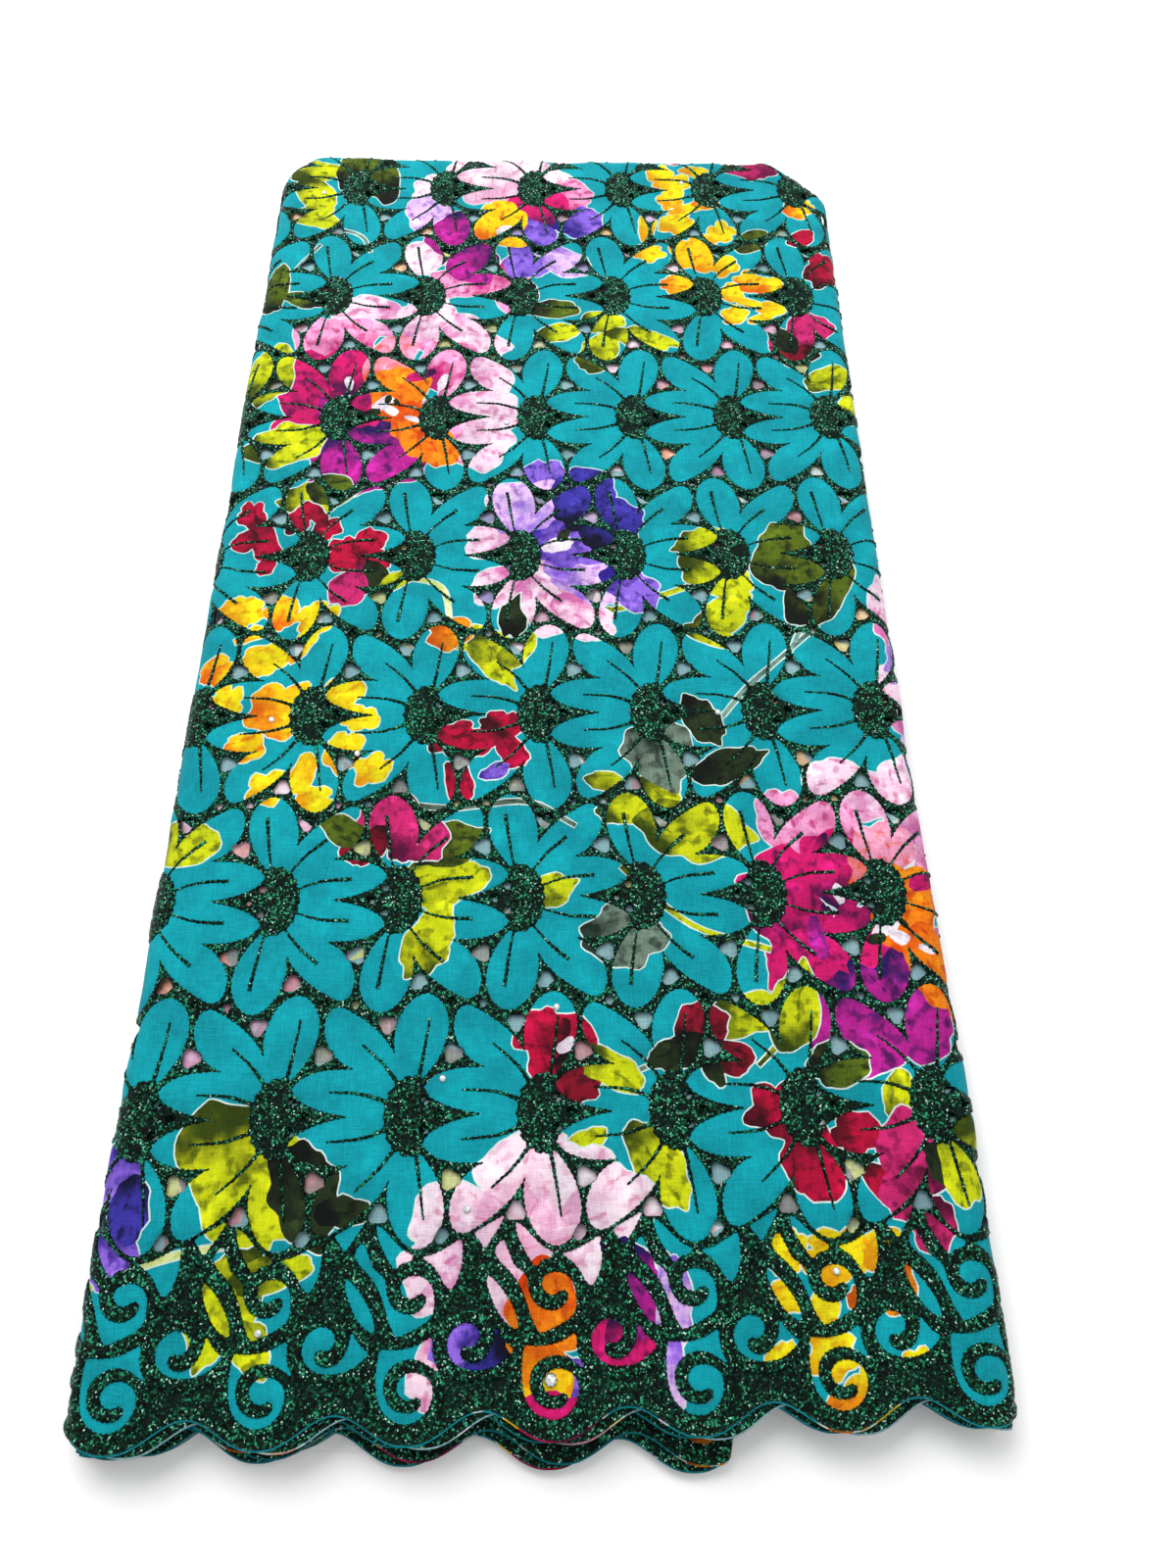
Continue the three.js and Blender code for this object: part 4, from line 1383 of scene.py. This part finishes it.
# Rows follow the solids: top of the fold, how far its round edge stays inside the
# outline, and its hem: forward, skew, shift and whether it ends part of the way across
FOLDS = (
    (2.7, 1.6, 1.5, 0.0, 9.0, False),
    (5.6, 0.4, 13.4, -0.048, -3.0, True),
    (8.3, 1.1, 11.0, -0.042, 2.0, True),
    (11.1, 0.0, 0.6, 0.0, 3.0, False),
)
FOLD_GROOVE = 3.6
FOLD_RUN = 15.0
FOLD_CLEAR = 0.3
FOLD_ANGLES = 15
FLOOR_CLEAR = 0.05
SHOWN_BAND = 19.0
SHOWN_SIDE = 6.0
LOWER_STEP = 1.5
HIDDEN_STEP = 12.0
HIDDEN_CLEAR = 3.0
LOWER_LOOP_STEP = 2.3
# Rows of points round a fold's edge: the first one's inset, and how far apart they are
# across and along the edge
FOLD_ROW_START = 1.0
FOLD_ROW_STEP = 1.6
FOLD_ALONG_STEP = 4.0
LOWER_STITCH_HEIGHT = 0.28
LOWER_STITCH_ROUGHNESS = 0.22
# Slow and short creases of the lower plies: length, height and stray of the seed
LOWER_WAVE = (38.0, 0.5, 31)
LOWER_CRIMP = (11.0, 0.3, 17)
# Painted shade of the lower plies: their print darkened as if in the shadow of the plies above
LOWER_PAINTED_SHADE = 0.55
CUT_EDGE = 0.6
# A turned ply mirrors the embroidery about half this place
MIRROR_SUM = 2 * SCALLOP_PHASE - 2 * DAISY_PITCH

lower_loops = [ring_of(loop, LOWER_LOOP_STEP) for loop in on_plan(fields)] + on_plan(holes)


class Hem:
    """A ply's hem, and where its points lie on the embroidery and the print."""

    def __init__(self, forward=0.0, skew=0.0, shift=0.0, partial=False, mirrored=False, print_shift=0.0):
        self.line = {"forward": forward, "skew": skew, "shift": shift, "partial": partial}
        self.mirrored = mirrored
        self.print_shift = (print_shift, 0.0)

    def front(self, x):
        return hem_line(x, **self.line)

    def pattern(self, points):
        """The point of the embroidery that lies here."""
        x = points[:, 0] - self.line["shift"]
        if self.mirrored:
            x = MIRROR_SUM - x
        y = points[:, 1] + self.line["forward"] + self.line["skew"] * (LOWER_FOLD_END - points[:, 0])
        return np.column_stack([x, y])

    def laid(self, loop):
        """A loop of the embroidery where this ply has it."""
        x = loop[:, 0]
        if self.mirrored:
            x = MIRROR_SUM - x
        x = x + self.line["shift"]
        y = loop[:, 1] - self.line["forward"] - self.line["skew"] * (LOWER_FOLD_END - x)
        placed = np.column_stack([x, y])
        return placed[::-1] if self.mirrored else placed

    def printed_at(self, points):
        return self.pattern(points) + self.print_shift


def fold_section(floor_level, top, bulge):
    """A fold's ply in section: in along its top, round its edge and back along its foot."""
    low, high = floor_level + FOLD_CLEAR, top - FOLD_CLEAR
    section = [(bulge + FOLD_RUN, high)]
    for angle in np.linspace(math.pi / 2, -math.pi / 2, FOLD_ANGLES):
        level = (low + high) / 2 + (high - low) / 2 * math.sin(angle)
        section.append((bulge + FOLD_GROOVE * (1 - math.cos(angle)), level))
    section.append((bulge + FOLD_RUN, low))
    return section


def lower_relief(plan, seed):
    """Height of a lower ply's creases, which differ from ply to ply."""
    length, rise, stray = LOWER_WAVE
    wave = lattice_noise(plan[:, 0] + seed * stray, plan[:, 1], length, seed) - 0.5
    short, small_rise, stray = LOWER_CRIMP
    crimp = lattice_noise(plan[:, 0], plan[:, 1] + seed * stray, short, seed) - 0.5
    return rise * wave + small_rise * crimp


def make_ply(name, roll, hem, seed, shown, sides=True, back=PLAN_HIGH[1]):
    """A lower ply with its stitches: fine where it shows, plain where the pack hides it.
    Gives the piece, its flat size and its area."""
    edge = ply_domain(roll.reach, hem.line)
    edge = edge[edge[:, 1] < back]
    loops = [loop for loop in map(hem.laid, lower_loops) if shown(loop).any()]
    fine = lattice(PLAN_LOW, PLAN_HIGH, LOWER_STEP, seed)
    fine = fine[sampled(SOLID_STITCHES_MAP, hem.pattern(fine)) > SOLID_SHARE]
    near = np.vstack([fine, beside_loops(loops, RING_OFFSET)])
    near = near[shown(near)]
    near = near[near[:, 1] < hem.front(near[:, 0]) + SHOWN_BAND] if sides else near
    plain = lattice(PLAN_LOW, PLAN_HIGH, HIDDEN_STEP, seed + 1)
    spots = np.vstack([near, spots_inside(plain, roll, edge, HIDDEN_CLEAR)])
    if sides and roll.reach > 0:
        insets = np.arange(FOLD_ROW_START - roll.reach, roll.start + FOLD_ROW_START, FOLD_ROW_STEP)
        spots = np.vstack([spots, rows_along_edge(FOLD_ALONG_STEP, insets)])
    spots = spots[point_in(edge, spots)]
    bare = dict(hem.line, forward=hem.line["forward"] - CUT_EDGE)
    sewn = ply_domain(roll.reach - CUT_EDGE, bare)
    sewn = sewn[sewn[:, 1] < back - CUT_EDGE]
    plan, faces = triangulated([edge, sewn] + loops, spots, lambda middles: point_in(edge, middles))
    middles = plan[faces].mean(axis=1)
    stitched = is_stitched(hem.pattern(middles)) & point_in(sewn, middles)
    free = np.ones(len(plan), bool)
    free[faces[~stitched]] = False
    free[rim_of(faces)] = False
    chance = np.random.default_rng(seed + 2).uniform(0, 1, len(plan))
    base = lower_relief(plan, seed)
    height = base + np.where(free, LOWER_STITCH_HEIGHT + LOWER_STITCH_ROUGHNESS * chance, 0.0)
    above, below = roll.place(plan, height), roll.place(plan, base - CLOTH)
    above[:, 2], below[:, 2] = np.maximum(above[:, 2], FLOOR_CLEAR), np.maximum(below[:, 2], 0.0)
    # The folds and strips get painted shade; the second ply keeps its print's colours
    painted_shade_gain = LOWER_PAINTED_SHADE if sides else 1.0
    piece, area = make_shell(
        name, plan, faces, above, below, hem.printed_at, stitched, hem.mirrored, painted_shade_gain)
    return piece, (edge.max(axis=0) - edge.min(axis=0)) * MM, area


SECOND_LIFT = 0.3
SECOND_BAND = 12.0
CUTWORK_REACH = 7.0
CUTWORK_SHARE = 0.03
near_cutwork = softened(STITCHES.map == HOLE, CUTWORK_REACH, 1)
second_hem = Hem(forward=1.0, shift=6.0, mirrored=True)


def shown_below_top(points):
    front = points[:, 1] < second_hem.front(points[:, 0]) + SECOND_BAND
    return (sampled(near_cutwork, points) > CUTWORK_SHARE) | front


def shown_on_fold(hem, roll):
    def shown(points):
        front = points[:, 1] < hem.front(points[:, 0]) + SHOWN_BAND
        return front | (edge_frame(points)[0] < roll.start - SHOWN_SIDE)
    return shown


second_top = PACK_HEIGHT - TOP_PLY - SEAM_GAP - SECOND_LIFT
second_roll = Roll(quarter_roll(TOP_PLY + SEAM_GAP, second_top))
sheets = [make_ply("second_ply_cloth", second_roll, second_hem, SECOND_SEED, shown_below_top, sides=False)]
second_cloth = sheets[0][0]

FOLD_FLOORS = (0.0, *(row[0] for row in FOLDS))
for number, (top, bulge, forward, skew, shift, partial) in enumerate(FOLDS, 1):
    hem = Hem(forward, skew, shift, partial, print_shift=DAISY_PITCH * (number - 2))
    roll = Roll(fold_section(FOLD_FLOORS[number - 1], top, bulge), FOLD_ROLL_SEED + number)
    name, seed = f"fold_{number}_cloth", FOLD_SEED + SEED_STEP * number
    sheets.append(make_ply(name, roll, hem, seed, shown_on_fold(hem, roll)))


# Plies that show at the hem alone. Rows: height, how far its sides stand in from the
# outline, forward and shift of the hem, and whether its wrong side is up
STRIP_DEPTH = 34.0
STRIP_BAND = 8.0
STRIP_EDGE = 0.6
UPPER_STRIPS = (
    (12.4, 5.0, -0.4, -3.0, True),
    (13.9, 5.5, 0.1, -4.6, False),
    (15.4, 6.5, -0.6, -3.8, True),
    (16.9, 8.0, 0.2, -4.2, False),
)
FLOOR_PLY = (0.3, 17.0, 0.9, 11.0)
# A fold's inner ply beside the fold itself: inset of its sides, hem and shift
INNER_INSET = 5.5
INNER_BACK = 0.5
INNER_SHIFT = 1.2


def make_strip(name, level, inset, hem, seed, back):
    """A flat ply inside the pack that runs from its hem back to the given line."""
    def shown(points):
        return points[:, 1] < hem.front(points[:, 0]) + STRIP_BAND

    roll = Roll([(inset, level), (inset - STRIP_EDGE, level)])
    return make_ply(name, roll, hem, seed, shown, back=back)


strip_back = HEM_FRONT + SCALLOP_DEPTH + STRIP_DEPTH
for number, (level, inset, forward, shift, turned_over) in enumerate(UPPER_STRIPS, 1):
    hem = Hem(forward, shift=shift, mirrored=turned_over, print_shift=DAISY_PITCH * number)
    name, seed = f"upper_ply_{number}_cloth", UPPER_SEED + SEED_STEP * number
    sheets.append(make_strip(name, level, inset, hem, seed, strip_back))
for number, (top, bulge, forward, skew, shift, partial) in enumerate(FOLDS, 1):
    hem = Hem(forward - INNER_BACK, skew, shift + INNER_SHIFT, partial, True, DAISY_PITCH * (1 - number))
    name, seed = f"inner_ply_{number}_cloth", INNER_SEED + SEED_STEP * number
    level = (FOLD_FLOORS[number - 1] + top) / 2
    sheets.append(make_strip(name, level, bulge + INNER_INSET, hem, seed, strip_back))
level, inset, forward, shift = FLOOR_PLY
hem = Hem(forward, shift=shift, mirrored=True)
sheets.append(make_strip("floor_ply_cloth", level, inset, hem, FLOOR_SEED, PLAN_HIGH[1]))


# Rhinestones: x, y and diameter
STONES = (
    (-185.6, 274.2, 3.2), (35.5, 284.4, 3.2), (-72.6, 88.6, 3.2), (-182.7, -95.5, 3.2),
    (-141.4, -113.7, 3.2), (29.6, -93.7, 3.2), (-49.9, -235.6, 3.2), (-97.2, -264.5, 3.2),
    (-86.1, -315.3, 3.4), (-163.3, -357.3, 3.2), (-54.0, -375.6, 5.2), (57.0, -341.3, 3.2),
)
STONE_SIDES = 8
# Rows of a stone's corners, as shares of its diameter: radius, height and turn by sides
STONE_ROWS = ((0.5, 0.0, 0.0), (0.5, 0.12, 0.0), (0.38, 0.3, 0.5), (0.2, 0.4, 0.0))
STONE_HEIGHT = 0.42


def make_stones():
    """Faceted stones: a girdle, a table and a row of kite facets between them."""
    points, faces = [], []
    for x, y, size in STONES:
        count = len(points)
        place = np.array([(x, y)])
        lift = float(cloth_relief(place)[0]) + (STITCH_HEIGHT if is_stitched(place)[0] else 0.0)
        base = PACK_HEIGHT + lift
        for reach, up, lag in STONE_ROWS:
            for side in range(STONE_SIDES):
                angle = 2 * math.pi * (side + lag) / STONE_SIDES
                across, along = reach * size * math.cos(angle), reach * size * math.sin(angle)
                points.append((x + across, y + along, base + up * size))
        points.append((x, y, base + STONE_HEIGHT * size))
        tip = count + len(STONE_ROWS) * STONE_SIDES
        for side in range(STONE_SIDES):
            ahead = (side + 1) % STONE_SIDES
            rows = range(count, tip, STONE_SIDES)
            foot, girdle, kite, table = (row + side for row in rows)
            next_foot, next_girdle, next_kite, next_table = (row + ahead for row in rows)
            faces += [
                (foot, next_foot, next_girdle), (foot, next_girdle, girdle), (girdle, next_girdle, kite),
                (next_girdle, next_kite, kite), (kite, next_kite, next_table), (kite, next_table, table),
                (table, next_table, tip)]
    return make_piece("rhinestones", points, faces, [GEM], smooth=False)


rhinestones = make_stones()


# Floor, light and camera

FLOOR_COLOUR = (0.93, 0.93, 0.93, 1.0)
FLOOR_SPAN = 3.0


def make_floor():
    mesh = bpy.data.meshes.new("floor")
    corners = [(x * FLOOR_SPAN, y * FLOOR_SPAN, 0.0) for x, y in ((-1, -1), (1, -1), (1, 1), (-1, 1))]
    mesh.from_pydata(corners, [], [(0, 1, 2, 3)])
    mesh.materials.append(Nodes("pale_floor", Base_Color=FLOOR_COLOUR, Roughness=0.9,
                                Specular_IOR_Level=0.1).material)
    floor = bpy.data.objects.new("floor", mesh)
    bpy.context.scene.collection.objects.link(floor)
    return floor


# Lights: name, place, target, size and power
LIGHTS = (
    ("key_light", (-0.35, 0.72, 1.25), (0.0, 0.1, 0.0), 1.1, 22.0),
    ("fill_light", (0.7, 0.3, 1.5), (0.0, 0.0, 0.0), 1.6, 7.0),
)
SKY_STRENGTH = 0.6


def make_light(name, place, target, size, power):
    data = bpy.data.lights.new(name, "AREA")
    data.size, data.energy = size, power
    lamp = bpy.data.objects.new(name, data)
    lamp.location = place
    lamp.rotation_euler = (Vector(target) - Vector(place)).to_track_quat("-Z", "Y").to_euler()
    bpy.context.scene.collection.objects.link(lamp)


def make_sky():
    world = bpy.data.worlds.new("studio")
    world.use_nodes = True
    sky = world.node_tree.nodes["Background"].inputs
    sky["Color"].default_value = (1.0, 1.0, 1.0, 1.0)
    sky["Strength"].default_value = SKY_STRENGTH
    bpy.context.scene.world = world


# The camera's place on the plan, above the pack's top, its angles, its lens and its sensor
CAMERA_PLACE = (-52.147, -356.548, 473.450)
CAMERA_PITCH = 1.12406302
CAMERA_YAW = -0.0811647572
CAMERA_ROLL = 0.0608520011
CAMERA_LENS = 25.875
CAMERA_SENSOR = 36.0


def make_camera():
    ahead = Vector((0.0, math.cos(CAMERA_PITCH), -math.sin(CAMERA_PITCH)))
    right = Vector((1.0, 0.0, 0.0))
    up = Vector((0.0, math.sin(CAMERA_PITCH), math.cos(CAMERA_PITCH)))
    yaw = Matrix.Rotation(CAMERA_YAW, 3, "Z")
    ahead, right, up = yaw @ ahead, yaw @ right, yaw @ up
    cosine, sine = math.cos(CAMERA_ROLL), math.sin(CAMERA_ROLL)
    level, upright = cosine * right + sine * up, cosine * up - sine * right
    data = bpy.data.cameras.new("camera")
    data.sensor_fit = "VERTICAL"
    data.sensor_height = data.sensor_width = CAMERA_SENSOR
    data.lens = CAMERA_LENS
    camera = bpy.data.objects.new("camera", data)
    matrix = Matrix((level, upright, -ahead)).transposed().to_4x4()
    matrix.translation = (Vector(CAMERA_PLACE) + Vector((*PLAN_SHIFT, PACK_HEIGHT))) * MM
    camera.matrix_world = matrix
    bpy.context.scene.collection.objects.link(camera)
    bpy.context.scene.camera = camera


floor = make_floor()
for light in LIGHTS:
    make_light(*light)
make_sky()
bpy.context.scene.view_settings.view_transform = "Standard"
make_camera()


# What each piece stands for

stitching = [field_stitching, border_stitching, stamen_stitches]
for piece in (top_cloth, *stitching, rhinestones):
    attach(piece, "root")
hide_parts("top_panel")
for piece, span, area in sheets:
    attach(piece, "root")
    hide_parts("second_ply" if piece is second_cloth else "folded_core")
